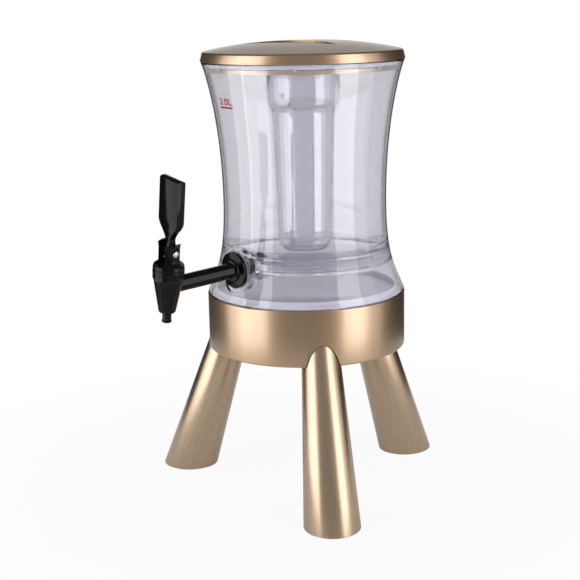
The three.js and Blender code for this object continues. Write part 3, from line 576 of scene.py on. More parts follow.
def block(x, y, z):
    """A box between pairs of coordinates."""
    bm = bmesh.new()
    size = [high - low for low, high in (x, y, z)]
    middle = [(low + high) / 2 for low, high in (x, y, z)]
    place = Matrix.Translation(middle) @ Matrix.Diagonal((*size, 1))
    bmesh.ops.create_cube(bm, size=1, matrix=place)
    return bm


def prism(outline, low, high):
    """A flat outline of (x, y) points, raised from low to high."""
    bm = bmesh.new()
    face = bm.faces.new([bm.verts.new((x, y, low)) for x, y in outline])
    raised = bmesh.ops.extrude_face_region(bm, geom=[face], use_keep_orig=True)["geom"]
    tops = [item for item in raised if isinstance(item, bmesh.types.BMVert)]
    bmesh.ops.translate(bm, vec=(0, 0, high - low), verts=tops)
    bmesh.ops.recalc_face_normals(bm, faces=bm.faces)
    return bm


def moved(bm, matrix):
    bmesh.ops.transform(bm, matrix=matrix, verts=bm.verts)
    return bm


def cut_level(bm, height):
    """Cuts off what lies below a height and gives the edges round the cut."""
    cut = bmesh.ops.bisect_plane(
        bm, geom=[*bm.verts, *bm.edges, *bm.faces], plane_co=(0, 0, height), plane_no=(0, 0, 1),
        clear_inner=True,
    )["geom_cut"]
    return [item for item in cut if isinstance(item, bmesh.types.BMEdge)]


def softened(bm, width, segments=2, angle=math.radians(35)):
    """Rounds the edges that turn by more than an angle."""
    sharp = [e for e in bm.edges if len(e.link_faces) == 2 and e.calc_face_angle() > angle]
    bmesh.ops.bevel(
        bm, geom=sharp, offset=width, offset_type="OFFSET", affect="EDGES", segments=segments,
        profile=0.5, material=-1, clamp_overlap=True,
    )
    return bm


def scratch(bm):
    data = bpy.data.meshes.new("scratch")
    bm.to_mesh(data)
    bm.free()
    made = bpy.data.objects.new("scratch", data)
    bpy.context.scene.collection.objects.link(made)
    return made


def carved(bm, *steps):
    """Joins pieces to a shape (UNION), cuts them out of it (DIFFERENCE) or keeps what they share
    (INTERSECT). The pieces run a little past the faces that they meet, so that no two coincide."""
    base = scratch(bm)
    others = []
    for operation, other in steps:
        others.append(scratch(other))
        step = base.modifiers.new("step", "BOOLEAN")
        step.operation = operation
        step.solver = "EXACT"
        step.object = others[-1]
    result = bmesh.new()
    result.from_object(base, bpy.context.evaluated_depsgraph_get())
    bmesh.ops.remove_doubles(result, verts=result.verts, dist=1e-3)
    for made in [base, *others]:
        data = made.data
        bpy.data.objects.remove(made)
        bpy.data.meshes.remove(data)
    return result


def piece(name, bm, finish, body, stands_for, sharp=32):
    """Finishes a shape: to metres, smooth shading, material, and its place among the bodies."""
    bmesh.ops.scale(bm, vec=(mm, mm, mm), verts=bm.verts)
    for face in bm.faces:
        face.smooth = True
    data = bpy.data.meshes.new(name)
    bm.to_mesh(data)
    bm.free()
    data.set_sharp_from_angle(angle=math.radians(sharp))
    data.materials.append(finish)
    made = bpy.data.objects.new(name, data)
    bpy.context.scene.collection.objects.link(made)
    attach(made, body)
    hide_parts(*stands_for)
    return made


def arc(middle, height, across, up, start, end, steps):
    """Points on part of an ellipse; angles run from straight down, outwards and up."""
    angles = [start + (end - start) * i / steps for i in range(steps + 1)]
    return [(middle + across * math.sin(a), height - up * math.cos(a)) for a in angles]


# ---------------------------------------------------------------- vessel
def flare(points, steps):
    curve = interpolate_bezier(*[Vector((r, z, 0)) for r, z in points], steps + 1)
    return [(p.x, p.y) for p in curve]


flare_down = flare([
    (lip_radius, lip_height), (lip_radius - lip_flare, lip_height + lip_flare_height),
    (waist_radius, waist_height - waist_run_down), (waist_radius, waist_height),
], 28)
flare_up = flare([
    (waist_radius, waist_height), (waist_radius, waist_height + waist_run_up),
    (rim_radius - rim_run * rim_slope, vessel_top - rim_run), (rim_radius, vessel_top),
], 32)
outer_points = flare_down + flare_up[1:]


def outer_radius(height):
    for (r0, z0), (r1, z1) in zip(outer_points, outer_points[1:]):
        if height <= z1:
            return r0 + (r1 - r0) * (height - z0) / (z1 - z0)
    return rim_radius


def inner_radius(height):
    return outer_radius(height) - vessel_wall


def rim_lip():
    """The rounded rim: it leaves the outside along the wall's lean and comes back to the inside."""
    lean = math.atan2(rim_slope, 1)
    middle = vessel_top - rim_round
    outside = outer_radius(middle) - rim_round
    inside = outside + 2 * rim_round - vessel_wall
    out = arc(outside, middle, rim_round, rim_round, turn / 4 - lean, turn / 2, 6)
    back = arc(inside, middle, rim_round, rim_round, -turn / 2, -turn / 4 - lean, 4)
    return out + back


def add_vessel():
    bowl_top = floor_height + bowl_height
    inside = [(0, floor_height)]
    inside += arc(floor_radius, bowl_top, inner_radius(bowl_top) - floor_radius, bowl_height,
                  0, turn / 4, 20)
    inside += [
        (r - vessel_wall, z)
        for r, z in outer_points
        if bowl_top + 2 < z < vessel_top - 2 * rim_round
    ]
    skirt = [(r - vessel_wall, z) for r, z in outer_points if z < floor_bottom - 1]
    outline = [
        (0, floor_bottom),
        (inner_radius(floor_bottom), floor_bottom),
        *reversed(skirt),
        *[(r, z) for r, z in outer_points if z < vessel_top - 2 * rim_round],
        *rim_lip(),
        *reversed(inside),
    ]
    above = vessel_top + 20
    room = spun([*inside, (inner_radius(vessel_top - 1), above), (0, above)], wide_sides)
    sump_radius = inner_seat_radius + vessel_wall
    neck_start, neck_end = inner_seat_distance + 5, pad_start
    outside = spun([
        (0, sump_end - vessel_wall), (sump_radius, sump_end - vessel_wall), (sump_radius, neck_start),
        (inner_seat_radius - 1, neck_start), (inner_seat_radius - 1, neck_end),
        (seat_radius, neck_end), (seat_radius, seat_distance + 3), (0, seat_distance + 3),
    ], mid_sides)
    hole = spun([
        (0, sump_end), (inner_seat_radius, sump_end), (inner_seat_radius, inner_seat_distance),
        (shank_radius + fit_gap, inner_seat_distance), (shank_radius + fit_gap, seat_distance),
        (seat_radius + fit_gap, seat_distance), (seat_radius + fit_gap, seat_distance + 25),
        (0, seat_distance + 25),
    ], mid_sides)
    inner_boss = rod(inner_seat_radius, inner_seat_distance + 2, seat_distance - 2, mid_sides)
    steps = [
        ("UNION", carved(moved(outside, along_shank), ("DIFFERENCE", room))),
        ("UNION", moved(inner_boss, along_shank)),
        ("DIFFERENCE", moved(hole, along_shank)),
    ]
    shell = softened(spun(outline, wide_sides), vessel_edge, 2, math.radians(60))
    piece("vessel_shell", carved(shell, *steps), clear, "stand", ["vessel"])


# ---------------------------------------------------------------- base drum, deck, legs
def leg_radius(distance):
    return leg_foot_radius - leg_taper * distance


def leg_cone(growth, low, high, frame_of_leg, sides=mid_sides):
    outline = [(0, low), (leg_radius(low) + growth, low), (leg_radius(high) + growth, high), (0, high)]
    return moved(spun(outline, sides), frame_of_leg)


def add_drum():
    shelf_top = drum_top - deck_thickness - fit_gap
    shelf_edge = drum_radius - drum_ledge - shelf_width
    outline = [
        (drum_radius - drum_bevel, drum_bottom),
        (drum_radius, drum_bottom + drum_bevel),
        (drum_radius, drum_top - drum_bevel),
        (drum_radius - drum_bevel, drum_top),
        (drum_radius - drum_ledge, drum_top),
        (drum_radius - drum_ledge, shelf_top),
        (shelf_edge, shelf_top),
        (shelf_edge, shelf_top - shelf_thickness),
        (drum_radius - drum_wall, shelf_top - shelf_thickness),
        (drum_radius - drum_wall, drum_bottom),
    ]
    drum = softened(spun(outline, wide_sides, closed=True), drum_edge, 3)
    steps = []
    for i, frame_of_leg in enumerate(leg_frames):
        steps.append(("DIFFERENCE", leg_cone(notch_gap, 0, leg_length, frame_of_leg)))
        bearing = Matrix.Rotation(leg_bearings[i] + turn / 2 / leg_count, 4, "Z")
        low, high = bracket_top - bracket_thickness, bracket_top
        in_wall = drum_radius - bracket_in_wall
        arm = [(in_wall, -bracket_radius), (in_wall, bracket_radius)]
        arm += [(screw_circle + y, x) for x, y in
                arc(0, 0, bracket_radius, bracket_radius, turn / 4, -turn / 4, 24)]
        at_screw = Matrix.Translation((screw_circle, 0, 0))
        hole = moved(rod(screw_hole_radius, low - 2, high + 2), at_screw)
        bracket = carved(prism(arm, low, high), ("DIFFERENCE", hole))
        steps.insert(0, ("UNION", moved(bracket, bearing)))
    piece("drum_shell", carved(drum, *steps), paint, "stand", ["base_drum"])


def add_deck():
    underside = drum_top - deck_thickness
    shelf_level = underside - shelf_thickness - under_shelf
    outline = [
        (0, underside), (drum_radius - drum_ledge - fit_gap, underside),
        (drum_radius - drum_ledge - fit_gap, drum_top), (collar_radius, drum_top),
        (collar_radius, drum_top + collar_height), (collar_radius - collar_wall, drum_top + collar_height),
        (collar_radius - collar_wall, drum_top), (0, drum_top),
    ]
    in_drum = spun([
        (0, drum_bottom), (drum_radius - drum_wall - fit_gap, drum_bottom),
        (drum_radius - drum_wall - fit_gap, shelf_level),
        (drum_radius - drum_ledge - shelf_width - fit_gap, shelf_level),
        (drum_radius - drum_ledge - shelf_width - fit_gap, drum_top - 1), (0, drum_top - 1),
    ], wide_sides)
    sockets = carved(
        leg_cone(fit_gap + socket_wall, leg_length - socket_depth, leg_length + 28, leg_frames[0]),
        ("INTERSECT", in_drum),
    )
    steps = [
        ("UNION", moved(sockets.copy(), Matrix.Rotation(turn * i / leg_count, 4, "Z")))
        for i in range(leg_count)
    ]
    for frame_of_leg in leg_frames:
        steps.append(("DIFFERENCE", leg_cone(fit_gap, -2, leg_length + fit_gap, frame_of_leg)))
        stud_hole = rod(stud_hole_radius, leg_length, leg_length + stud_hole_depth)
        steps.append(("DIFFERENCE", moved(stud_hole, frame_of_leg)))
    for bearing in leg_bearings:
        top = drum_top + collar_height - fit_gap
        steps.append(("UNION", sector(
            collar_radius - 1.2, collar_radius + catch_depth, catch_half, bearing,
            top - catch_height, top)))
        place = Matrix.Rotation(bearing + turn / 2 / leg_count, 4, "Z")
        place = place @ Matrix.Translation((screw_circle, 0, 0))
        post_end = underside - screw_post_length
        steps.append(("UNION", moved(rod(screw_post_radius, post_end, underside + 1), place)))
        steps.append(("DIFFERENCE", moved(
            rod(screw_hole_radius, post_end - 2, underside - fit_gap), place)))
    deck = softened(spun(outline, wide_sides), deck_edge)
    piece("deck_plate", carved(deck, *steps), white, "stand", ["base_deck"])
    sockets.free()


def add_legs():
    inner_top = leg_length - leg_cap
    for i, frame_of_leg in enumerate(leg_frames):
        low = -leg_foot_radius
        wall = [
            (leg_radius(low), low), (leg_radius(leg_length), leg_length),
            (stud_hole_radius, leg_length), (stud_hole_radius, inner_top),
            (leg_radius(inner_top) - leg_wall, inner_top), (leg_radius(low) - leg_wall, low),
        ]
        leg = moved(spun(wall, mid_sides), frame_of_leg)
        bmesh.ops.bridge_loops(leg, edges=cut_level(leg, leg_bottom))
        bmesh.ops.recalc_face_normals(leg, faces=leg.faces)
        piece(f"leg_tube_{i + 1}", softened(leg, leg_edge, 3, math.radians(50)), leg_metals[i], "stand",
              [f"leg_{i + 1}"])
        pad = leg_cone(-leg_wall - fit_gap, -leg_foot_radius, pad_height, frame_of_leg)
        bmesh.ops.edgeloop_fill(pad, edges=cut_level(pad, 0))
        bmesh.ops.recalc_face_normals(pad, faces=pad.faces)
        piece(f"foot_plug_{i + 1}", softened(pad, pad_edge, 2, math.radians(50)), rubber, "stand",
              [f"foot_pad_{i + 1}"])


# ---------------------------------------------------------------- ice tube and lid
def add_ice_tube():
    def side(growth):
        shoulder = flare([
            (neck_radius - growth, neck_height), (neck_radius - growth + 0.3, neck_height + 12),
            (cup_radius - growth, cup_bottom - 10), (cup_radius - growth, cup_bottom + 2),
        ], 16)
        corner = arc(
            tube_foot_radius - tube_corner, tube_bottom + tube_corner, tube_corner - growth,
            tube_corner - growth, 0, turn / 4, 12,
        )
        return [(0, tube_bottom + growth), *corner, *shoulder, (cup_radius - growth, tube_top)]

    tube = spun([*side(0), *reversed(side(tube_wall))], mid_sides)
    tube = softened(tube, tube_edge, 2, math.radians(60))
    lugs = [
        ("UNION", sector(cup_radius - 1, cup_radius + lug_depth, lug_half, bearing,
                         lug_top - lug_height, lug_top))
        for bearing in (0, turn / 2)
    ]
    piece("ice_tube_shell", carved(tube, *lugs), tube_clear, "tube", ["ice_tube"])


def pocket_outline(growth):
    """The crescent between two arcs that share their tips."""
    def arc_through(middle):
        rise = abs(middle - pocket_tips)
        return (pocket_half_length ** 2 + rise ** 2) / (2 * rise)

    inner_arc = arc_through(pocket_inner) + growth
    outer_arc = arc_through(pocket_outer) + growth
    inner_middle = -pocket_inner + growth - inner_arc
    outer_middle = -pocket_outer - growth + outer_arc
    width = (pocket_half_length + growth) * pocket_width_share
    steps = 28
    across = [width * (1 - 2 * i / steps) for i in range(steps + 1)]
    near = [(x, inner_middle + math.sqrt(inner_arc ** 2 - x ** 2)) for x in across]
    far = [(x, outer_middle - math.sqrt(outer_arc ** 2 - x ** 2)) for x in reversed(across)]
    return near + far


def add_lid():
    rise = cap_top - cap_shoulder
    shares = [1 - i / 30 for i in range(31)]
    dome = [
        ((cap_shoulder_radius - cap_round) * share, cap_shoulder + rise * (1 - share ** dome_power))
        for share in shares
    ]
    under = liner_bottom + liner_thickness + fit_gap
    outline = [
        (0, under), (cap_shoulder_radius - cap_wall, under),
        (cap_radius - cap_wall, cap_bottom), (cap_radius, cap_bottom),
        (cap_shoulder_radius, cap_shoulder - cap_round), *dome,
    ]
    cap = softened(spun(outline, wide_sides), cap_edge, 3, math.radians(25))
    pockets = [
        ("DIFFERENCE", moved(
            prism(pocket_outline(0), pocket_floor, cap_top + 5), Matrix.Rotation(bearing, 4, "Z")))
        for bearing in (handle_bearing, handle_bearing + turn / 2)
    ]
    piece("lid_dome", carved(cap, *pockets), paint, "lid", ["lid_cap"])

    collar_inner = cup_radius + fit_gap
    groove = cup_radius + lug_depth + fit_gap
    ledge = inner_radius(ledge_bottom) - fit_gap
    top = liner_bottom + liner_thickness
    outline = [
        (0, liner_bottom), (collar_inner, liner_bottom), (collar_inner, lug_top + fit_gap),
        (groove, lug_top + fit_gap), (groove, lug_top - lug_height - fit_gap),
        (collar_inner, lug_top - lug_height - fit_gap), (collar_inner, plug_bottom),
        (collar_inner + tube_collar_wall, plug_bottom), (collar_inner + tube_collar_wall, liner_bottom),
        (plug_radius - plug_wall, liner_bottom), (plug_radius - plug_wall, ledge_bottom),
        (ledge, ledge_bottom), (ledge, seal_bottom - fit_gap), (plug_radius, seal_bottom - fit_gap),
        (plug_radius, liner_bottom), (cap_shoulder_radius - cap_wall - fit_gap, liner_bottom),
        (cap_shoulder_radius - cap_wall - fit_gap, top), (0, top),
    ]
    liner = softened(spun(outline, wide_sides), liner_edge)
    entries = [
        ("DIFFERENCE", sector(
            collar_inner - 2, groove, lug_half * entry_share, bearing, plug_bottom - 2, lug_top))
        for bearing in (turn / 4, -turn / 4)
    ]
    piece("lid_inside", carved(liner, *entries), pale_paint, "lid", ["lid_liner"])

    inner = plug_radius + fit_gap
    reach = [
        min(inner + seal_width, inner_radius(z) - seal_clearance) for z in (seal_bottom, seal_top)
    ]
    outline = [(inner, seal_bottom), (reach[0], seal_bottom), (reach[1], seal_top), (inner, seal_top)]
    ribs = [
        ("UNION", sector(inner + 1, reach[0] + rib_depth, rib_half, turn * i / rib_count,
                         seal_bottom, seal_top))
        for i in range(rib_count)
    ]
    ribs += [
        ("UNION", sector(inner + 1, inner_radius(seal_bottom - pip_drop) - seal_clearance, pip_half,
                         pip_bearing + turn * i / pip_count, seal_bottom - pip_drop, seal_top - 0.5))
        for i in range(pip_count)
    ]
    seal = softened(spun(outline, wide_sides, closed=True), seal_edge)
    piece("seal_ring", carved(seal, *ribs), silicone, "lid", ["lid_seal"])
    gasket = ring(cup_radius - gasket_width, cup_radius, tube_top + fit_gap, liner_bottom - fit_gap)
    piece("gasket_ring", gasket, silicone, "lid", ["tube_gasket"])


# ---------------------------------------------------------------- tap
def add_shank():
    hole = shank_radius + fit_gap
    end = tap_reach - shank_from_tap
    flange_end = flange_start + flange_thickness
    outline = [
        (shank_bore, shank_inlet), (shank_radius, shank_inlet), (shank_radius, flange_start),
        (flange_radius, flange_start), (flange_radius, flange_end), (hub_radius, flange_end),
        (hub_radius - 0.3, flange_end + hub_thickness), (shank_radius, flange_end + hub_thickness),
        (shank_radius, end), (shank_bore, end),
    ]
    shank = softened(spun(outline, mid_sides, closed=True), shank_edge, 3)
    pipe = piece("shank_pipe", moved(shank, along_shank), black, "stand", ["tap_shank"])
    pipe.data.materials.append(clear_silicone)
    for face in pipe.data.polygons:
        if (along_shank.inverted() @ (face.center / mm)).z < inner_seat_distance + 1:
            face.material_index = 1
    start = seat_distance + fit_gap
    washer = softened(ring(hole, washer_radius, start, start + washer_thickness), washer_edge)
    piece("outer_washer_ring", moved(washer, along_shank), clear_silicone, "stand",
          ["outer_washer"])
    start = inner_seat_distance - fit_gap - inner_washer_thickness
    washer = ring(hole, inner_washer_radius, start, start + inner_washer_thickness)
    washer = softened(washer, washer_edge)
    piece("inner_washer_ring", moved(washer, along_shank), clear_silicone, "stand",
          ["inner_washer"])
    start -= fit_gap + nut_thickness
    nut = bmesh.new()
    bmesh.ops.create_circle(nut, cap_ends=True, radius=nut_across_corners / 2, segments=6)
    outline = [(v.co.x, v.co.y) for v in nut.verts]
    nut.free()
    nut = carved(prism(outline, start, start + nut_thickness),
                 ("DIFFERENCE", rod(hole, start - 2, start + nut_thickness + 2)))
    piece("nut_body", moved(softened(nut, nut_edge), along_shank), clear, "stand",
          ["inner_nut"])


def add_tap_body():
    outline = [
        (outlet_radius, nozzle_bottom), (nozzle_radius, nozzle_bottom),
        (nozzle_radius + nozzle_bead, nozzle_bottom + nozzle_bead),
        (nozzle_radius + nozzle_bead, nozzle_bottom + nozzle_bead_height),
        (nozzle_radius, nozzle_bottom + nozzle_bead_height + nozzle_bead),
        (nozzle_radius, body_bottom - nozzle_chamfer),
        (body_bottom_radius - nozzle_bead, body_bottom - nozzle_bead),
    ]
    steps = 20
    outline += [
        (body_bottom_radius + (body_shoulder_radius - body_bottom_radius) * i / steps,
         body_bottom + (body_shoulder - body_bottom) * i / steps)
        for i in range(steps + 1)
    ]
    outline += [
        (body_top_radius, body_shoulder + nozzle_bead), (body_top_radius, body_top),
        (spigot_room_radius, body_top), (spigot_room_radius, spigot_room_bottom),
        (valve_room_radius, spigot_room_bottom), (valve_room_radius, valve_room_bottom),
        (throat_radius, throat_bottom), (outlet_radius, outlet_top),
    ]
    bm = spun(outline, flute_count * 10, closed=True)
    for vert in bm.verts:
        radius = math.hypot(vert.co.x, vert.co.y)
        share = (vert.co.z - body_bottom) / (body_shoulder - body_bottom)
        if 0 <= share <= 1 and radius > valve_room_radius + 0.5:
            wave = abs(math.cos(flute_count / 2 * math.atan2(vert.co.y, vert.co.x)))
            fade = min(1, share / 0.06, (1 - share) / 0.06)
            scale = 1 - flute_depth * (1 - wave) ** 0.6 * fade / radius
            vert.co.x *= scale
            vert.co.y *= scale
    piece("tap_cone", moved(bm, on_tap), black, "stand", ["tap_body"], sharp=40)


def add_bonnet():
    base = body_top + fit_gap
    groove = base + ridge_height
    outline = [
        (0, spigot_bottom), (spigot_radius, spigot_bottom), (spigot_radius, base),
        (ridge_radius - fit_gap, base), (ridge_radius, base + fit_gap), (ridge_radius, groove),
        (ridge_radius - groove_depth, groove + groove_depth),
        (ridge_radius - groove_depth, groove + 2 * groove_depth),
        (ridge_radius, groove + 3 * groove_depth), (ridge_radius - groove_depth, collar_top),
        (hood_radius + groove_depth, hood_bottom - groove_depth), (hood_radius, hood_bottom),
        (hood_radius, low_cheek - ridge_height),
        (hood_radius + groove_depth, tall_cheek - cheek_round),
        (hood_radius - cheek_round, tall_cheek), (0, tall_cheek),
    ]
    bonnet = softened(spun(outline, mid_sides), bonnet_edge, 3, math.radians(20))
    reach, above = ridge_radius + 2, tall_cheek + 2
    hole = rod(pin_radius + fit_gap, -reach, reach)
    hood = carved(
        bonnet,
        ("DIFFERENCE", block((-lever_slot / 2, lever_slot / 2), (-reach, reach), (slot_bottom, above))),
        ("DIFFERENCE", block((0, reach), (-reach, reach), (low_cheek, above))),
        ("DIFFERENCE", rod(stem_radius + fit_gap, spigot_bottom - 2, slot_bottom + 2)),
        ("DIFFERENCE", moved(hole, Matrix.Translation((0, 0, pin_height)) @ along_x)),
    )
    piece("tap_hood", moved(hood, on_tap), black, "stand", ["tap_bonnet"])


def lever_front():
    """The lever's outline from the front, as (x, height) points."""
    yoke, neck, paddle = yoke_width / 2, neck_width / 2, paddle_width / 2
    half = [(neck, neck_on_lever)] + flare([
        (neck, neck_on_lever), (neck, neck_on_lever + neck_width),
        (paddle, paddle_shoulder - neck_width), (paddle, paddle_shoulder),
    ], 20)[1:]
    half += [(paddle, paddle_top - paddle_bevel), (paddle - paddle_bevel, paddle_top)]
    feet = [(yoke, pin_height), (yoke, pin_height + lever_hub_radius)]
    right = feet + [(paddle_shift + x, z) for x, z in half]
    left = [(-x, z) for x, z in feet] + [(paddle_shift - x, z) for x, z in half]
    return right + left[::-1]


def lever_side():
    """The lever's outline from the side, as (y, height) points."""
    neck, paddle = neck_thickness / 2, paddle_thickness / 2
    half = [
        (lever_hub_radius - foot_margin, pin_height),
        (lever_hub_radius - foot_margin, pin_height + lever_hub_radius / 2),
        (neck, neck_on_lever), (paddle, paddle_shoulder), (paddle, paddle_top - paddle_crest),
    ]
    crest = flare([
        (paddle, paddle_top - paddle_crest), (paddle, paddle_top - paddle_crest / 3),
        (paddle / 3, paddle_top), (0, paddle_top),
    ], 8)[1:]
    return half + crest + [(-y, z) for y, z in (half + crest[:-1])[::-1]]


def add_lever():
    upright = Matrix.Rotation(turn / 4, 4, "X")
    front = moved(prism(lever_front(), -paddle_width, paddle_width), upright)
    side = moved(prism(lever_side(), -paddle_width, paddle_width),
                 Matrix.Rotation(turn / 4, 4, "Z") @ upright)
    yoke, gap, stem = yoke_width / 2, yoke_gap / 2, stem_radius + fit_gap
    at_pin = Matrix.Translation((0, 0, pin_height)) @ along_x
    blade = softened(carved(front, ("INTERSECT", side)), lever_edge, 3)
    lever = carved(
        blade,
        ("UNION", moved(rod(lever_hub_radius, -yoke - hub_margin, yoke + hub_margin), at_pin)),
        ("UNION", block((hub_margin - yoke, yoke - hub_margin), (-prong_reach, prong_reach),
                        (prong_top - prong_thickness, pin_height + 1))),
        ("DIFFERENCE", block((-gap, gap), (-yoke_width, yoke_width),
                             (prong_top, pin_height + pin_radius))),
        ("DIFFERENCE", block((-stem, stem), (-yoke_width, yoke_width),
                             (prong_top - prong_thickness - 2, prong_top + fit_gap))),
        ("DIFFERENCE", moved(rod(pin_radius + fit_gap, -yoke_width, yoke_width), at_pin)),
    )
    piece("lever_paddle", moved(lever, on_tap), black, "lever", ["tap_lever"])
    head = hood_radius + fit_gap
    outline = [
        (0, -hood_radius), (pin_radius, -hood_radius), (pin_radius, head), (pin_head_radius, head),
        (pin_head_radius, head + pin_head_edge),
        *[(pin_head_radius * math.cos(a), head + pin_head_edge + pin_head_dome * math.sin(a))
          for a in (turn / 4 * i / 8 for i in range(1, 9))],
    ]
    piece("pin_rivet", moved(spun(outline, small_sides), on_tap @ at_pin), steel, "stand",
          ["lever_pin"])


# ---------------------------------------------------------------- level mark
def add_level_mark():
    """The filling mark: its number and a line, printed on the vessel's outside."""
    data = bpy.data.curves.new("mark", "FONT")
    data.body = "3.0L"
    data.size = letter_size
    data.offset = letter_swelling
    data.extrude = ink_thickness / 2
    data.align_x = "CENTER"
    data.resolution_u = 4
    text = bpy.data.objects.new("mark", data)
    bpy.context.scene.collection.objects.link(text)
    flat = bpy.data.meshes.new_from_object(text.evaluated_get(bpy.context.evaluated_depsgraph_get()))
    bpy.data.objects.remove(text)
    bm = bmesh.new()
    bm.from_mesh(flat)
    bpy.data.meshes.remove(flat)
    bmesh.ops.scale(bm, vec=(letter_stretch, 1, 1), verts=bm.verts)
    bmesh.ops.translate(bm, vec=(0, letter_rise, 0), verts=bm.verts)
    bmesh.ops.remove_doubles(bm, verts=bm.verts, dist=1e-3)
    shape = Matrix.Diagonal((*mark_line, ink_thickness, 1))
    line = bmesh.ops.create_cube(bm, size=1, matrix=shape)["verts"]
    along = {e for v in line for e in v.link_edges if e.calc_length() > mark_line[0] / 2}
    bmesh.ops.subdivide_edges(bm, edges=list(along), cuts=11)
    for vert in bm.verts:
        level = mark_height + vert.co.y
        radius = outer_radius(level) + mark_lift + vert.co.z
        angle = mark_bearing + vert.co.x / radius
        vert.co = (radius * math.cos(angle), radius * math.sin(angle), level)
    bmesh.ops.recalc_face_normals(bm, faces=bm.faces)
    piece("level_mark", bm, ink, "stand", [])


# ---------------------------------------------------------------- floor and light
def seen_rays(tree):
    """One for rays from the camera, and for those that a shiny or clear surface sends on."""
    path = add(tree, "ShaderNodeLightPath", {}, {})
    seen = add(tree, "ShaderNodeMath", {"operation": "MAXIMUM"},
               {0: path.outputs["Is Camera Ray"], 1: path.outputs["Is Glossy Ray"]})
    return add(tree, "ShaderNodeMath", {"operation": "MAXIMUM"},
               {0: seen.outputs[0], 1: path.outputs["Is Transmission Ray"]}).outputs[0]


def add_floor():
    """A pale table top that holds the shadow and fades to the white behind it at its rim."""
    bm = bmesh.new()
    bmesh.ops.create_circle(bm, cap_ends=True, radius=table_radius, segments=96)
    data = bpy.data.meshes.new("floor")
    bm.to_mesh(data)
    bm.free()
    floor = bpy.data.objects.new("floor", data)
    bpy.context.scene.collection.objects.link(floor)
    made, tree = blank("pale_table")
    distance = add(tree, "ShaderNodeVectorMath", {"operation": "LENGTH"}, {0: coordinates(tree)})
    glow = add(tree, "ShaderNodeMapRange", {
        "interpolation_type": "SMOOTHSTEP", "From Min": 0.12, "From Max": table_radius - 0.03,
        "To Min": 0.93, "To Max": 1.0}, {"Value": distance.outputs["Value"]})
    path = add(tree, "ShaderNodeLightPath", {}, {})
    weaker = add(tree, "ShaderNodeMapRange", {"To Min": 1.0, "To Max": 0.15},
                 {"Value": path.outputs["Is Reflection Ray"]})
    glow = add(tree, "ShaderNodeMath", {"operation": "MULTIPLY"}, {0: glow.outputs[0], 1: weaker.outputs[0]})
    share = add(tree, "ShaderNodeMath", {"operation": "MULTIPLY"},
                {0: seen_rays(tree), 1: glow.outputs[0]})
    lit = add(tree, "ShaderNodeBsdfDiffuse", {"Color": linear("CFCFCF")}, {})
    white_glow = add(tree, "ShaderNodeEmission", {"Color": linear("FFFFFF"), "Strength": 1.0}, {})
    surface(tree, add(tree, "ShaderNodeMixShader", {},
                      {0: share.outputs[0], 1: lit.outputs[0], 2: white_glow.outputs[0]}))
    data.materials.append(made)


def add_lamp(name, azimuth, distance, angle, low, high, radiance):
    """An upright softbox: its azimuth is counted from the camera's in degrees, its width is an angle
    in degrees, and its distance and its two heights are in metres."""
    bearing = camera_bearing - turn / 4 + math.radians(azimuth)
    data = bpy.data.lights.new(name, "AREA")
    data.shape = "RECTANGLE"
    data.size = 2 * distance * math.tan(math.radians(angle) / 2)
    data.size_y = high - low
    data.energy = 4 * data.size * data.size_y * radiance
    lamp = bpy.data.objects.new(name, data)
    lamp.location = (distance * math.cos(bearing), distance * math.sin(bearing), (low + high) / 2)
    inward = Vector((-math.cos(bearing), -math.sin(bearing), 0))
    lamp.rotation_euler = inward.to_track_quat("-Z", "Y").to_euler()
    bpy.context.scene.collection.objects.link(lamp)


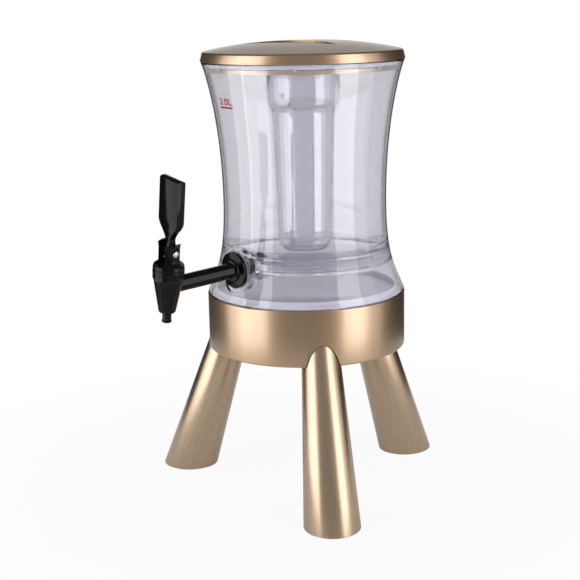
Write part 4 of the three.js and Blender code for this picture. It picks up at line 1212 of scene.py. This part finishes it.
def add_world():
    """White all round for what is seen. Mirror reflections see a white backdrop behind the object,
    which is narrow and darkens upwards, and a dim room elsewhere."""
    world = bpy.data.worlds.new("studio")
    bpy.context.scene.world = world
    world.use_nodes = True
    tree = world.node_tree
    tree.nodes.clear()
    path = add(tree, "ShaderNodeLightPath", {}, {})
    behind = Vector((-math.sin(camera_bearing - turn / 2), math.cos(camera_bearing - turn / 2), 0)) * -1
    towards = add(tree, "ShaderNodeTexCoord", {}, {})
    facing = add(tree, "ShaderNodeVectorMath", {"operation": "DOT_PRODUCT", 1: behind},
                 {0: towards.outputs["Generated"]})
    across = behind.cross(Vector((0, 0, 1)))
    aside = add(tree, "ShaderNodeVectorMath", {"operation": "DOT_PRODUCT", 1: across},
                {0: towards.outputs["Generated"]})
    aside = add(tree, "ShaderNodeMath", {"operation": "ABSOLUTE"}, {0: aside.outputs["Value"]})
    narrow = add(tree, "ShaderNodeMapRange", {
        "interpolation_type": "SMOOTHSTEP", "From Min": 0.12, "From Max": 0.3,
        "To Min": 1.0, "To Max": 0.0}, {"Value": aside.outputs[0]})
    behind_it = add(tree, "ShaderNodeMapRange", {"From Min": 0.6, "From Max": 0.88},
                    {"Value": facing.outputs["Value"]})
    backdrop = add(tree, "ShaderNodeMath", {"operation": "MULTIPLY"},
                   {0: narrow.outputs[0], 1: behind_it.outputs[0]})
    height = add(tree, "ShaderNodeSeparateXYZ", {}, {0: towards.outputs["Generated"]})
    lit = add(tree, "ShaderNodeMapRange", {
        "interpolation_type": "SMOOTHSTEP", "From Min": 0.02, "From Max": 0.25,
        "To Min": 1.0, "To Max": 0.44}, {"Value": height.outputs[2]})
    room_side = add(tree, "ShaderNodeMapRange", {
        "interpolation_type": "SMOOTHSTEP", "From Min": -0.3, "From Max": 0.5,
        "To Min": room_level, "To Max": 0.04}, {"Value": facing.outputs["Value"]})
    shown = add(tree, "ShaderNodeMix", {"data_type": "FLOAT"},
                {0: backdrop.outputs[0], 2: room_side.outputs[0], 3: lit.outputs[0]})
    mirrored = add(tree, "ShaderNodeMath", {"operation": "MULTIPLY"},
                   {0: path.outputs["Is Reflection Ray"], 1: path.outputs["Is Glossy Ray"]})
    scattered = add(tree, "ShaderNodeMath", {"operation": "MINIMUM", 1: 1.0},
                    {0: path.outputs["Diffuse Depth"]})
    inside = add(tree, "ShaderNodeMapRange", {"To Min": 1.0, "To Max": inside_level},
                 {"Value": scattered.outputs[0]})
    level = add(tree, "ShaderNodeMix", {"data_type": "FLOAT"},
                {0: mirrored.outputs[0], 2: inside.outputs[0], 3: shown.outputs[0]})
    room = add(tree, "ShaderNodeBackground", {"Color": linear("FFFFFF"), "Strength": diffuse_level}, {})
    wall = add(tree, "ShaderNodeBackground", {"Color": linear("FFFFFF")}, {"Strength": level.outputs[0]})
    both = add(tree, "ShaderNodeMixShader", {},
               {0: seen_rays(tree), 1: room.outputs[0], 2: wall.outputs[0]})
    add(tree, "ShaderNodeOutputWorld", {}, {"Surface": both.outputs[0]})


add_camera()
add_vessel()
add_drum()
add_deck()
add_legs()
add_ice_tube()
add_lid()
add_shank()
add_tap_body()
add_bonnet()
add_lever()
add_level_mark()
add_floor()
add_world()
add_lamp("left_softbox", -88, 1.5, 24, -0.6, 1.3, 1.1)
add_lamp("left_strip", -61, 1.2, 35, -0.6, 1.3, 1.75)
add_lamp("right_strip", 55, 1.2, 30, -0.6, 1.3, 1.95)
add_lamp("right_softbox", 82, 1.5, 24, -0.6, 1.3, 0.5)
bpy.context.scene.view_settings.view_transform = "Standard"
# Light runs along inside the vessel's floor, from wall to wall, before it comes out
bpy.context.scene.cycles.max_bounces = 40
bpy.context.scene.cycles.transmission_bounces = 40
bpy.context.scene.cycles.glossy_bounces = 40
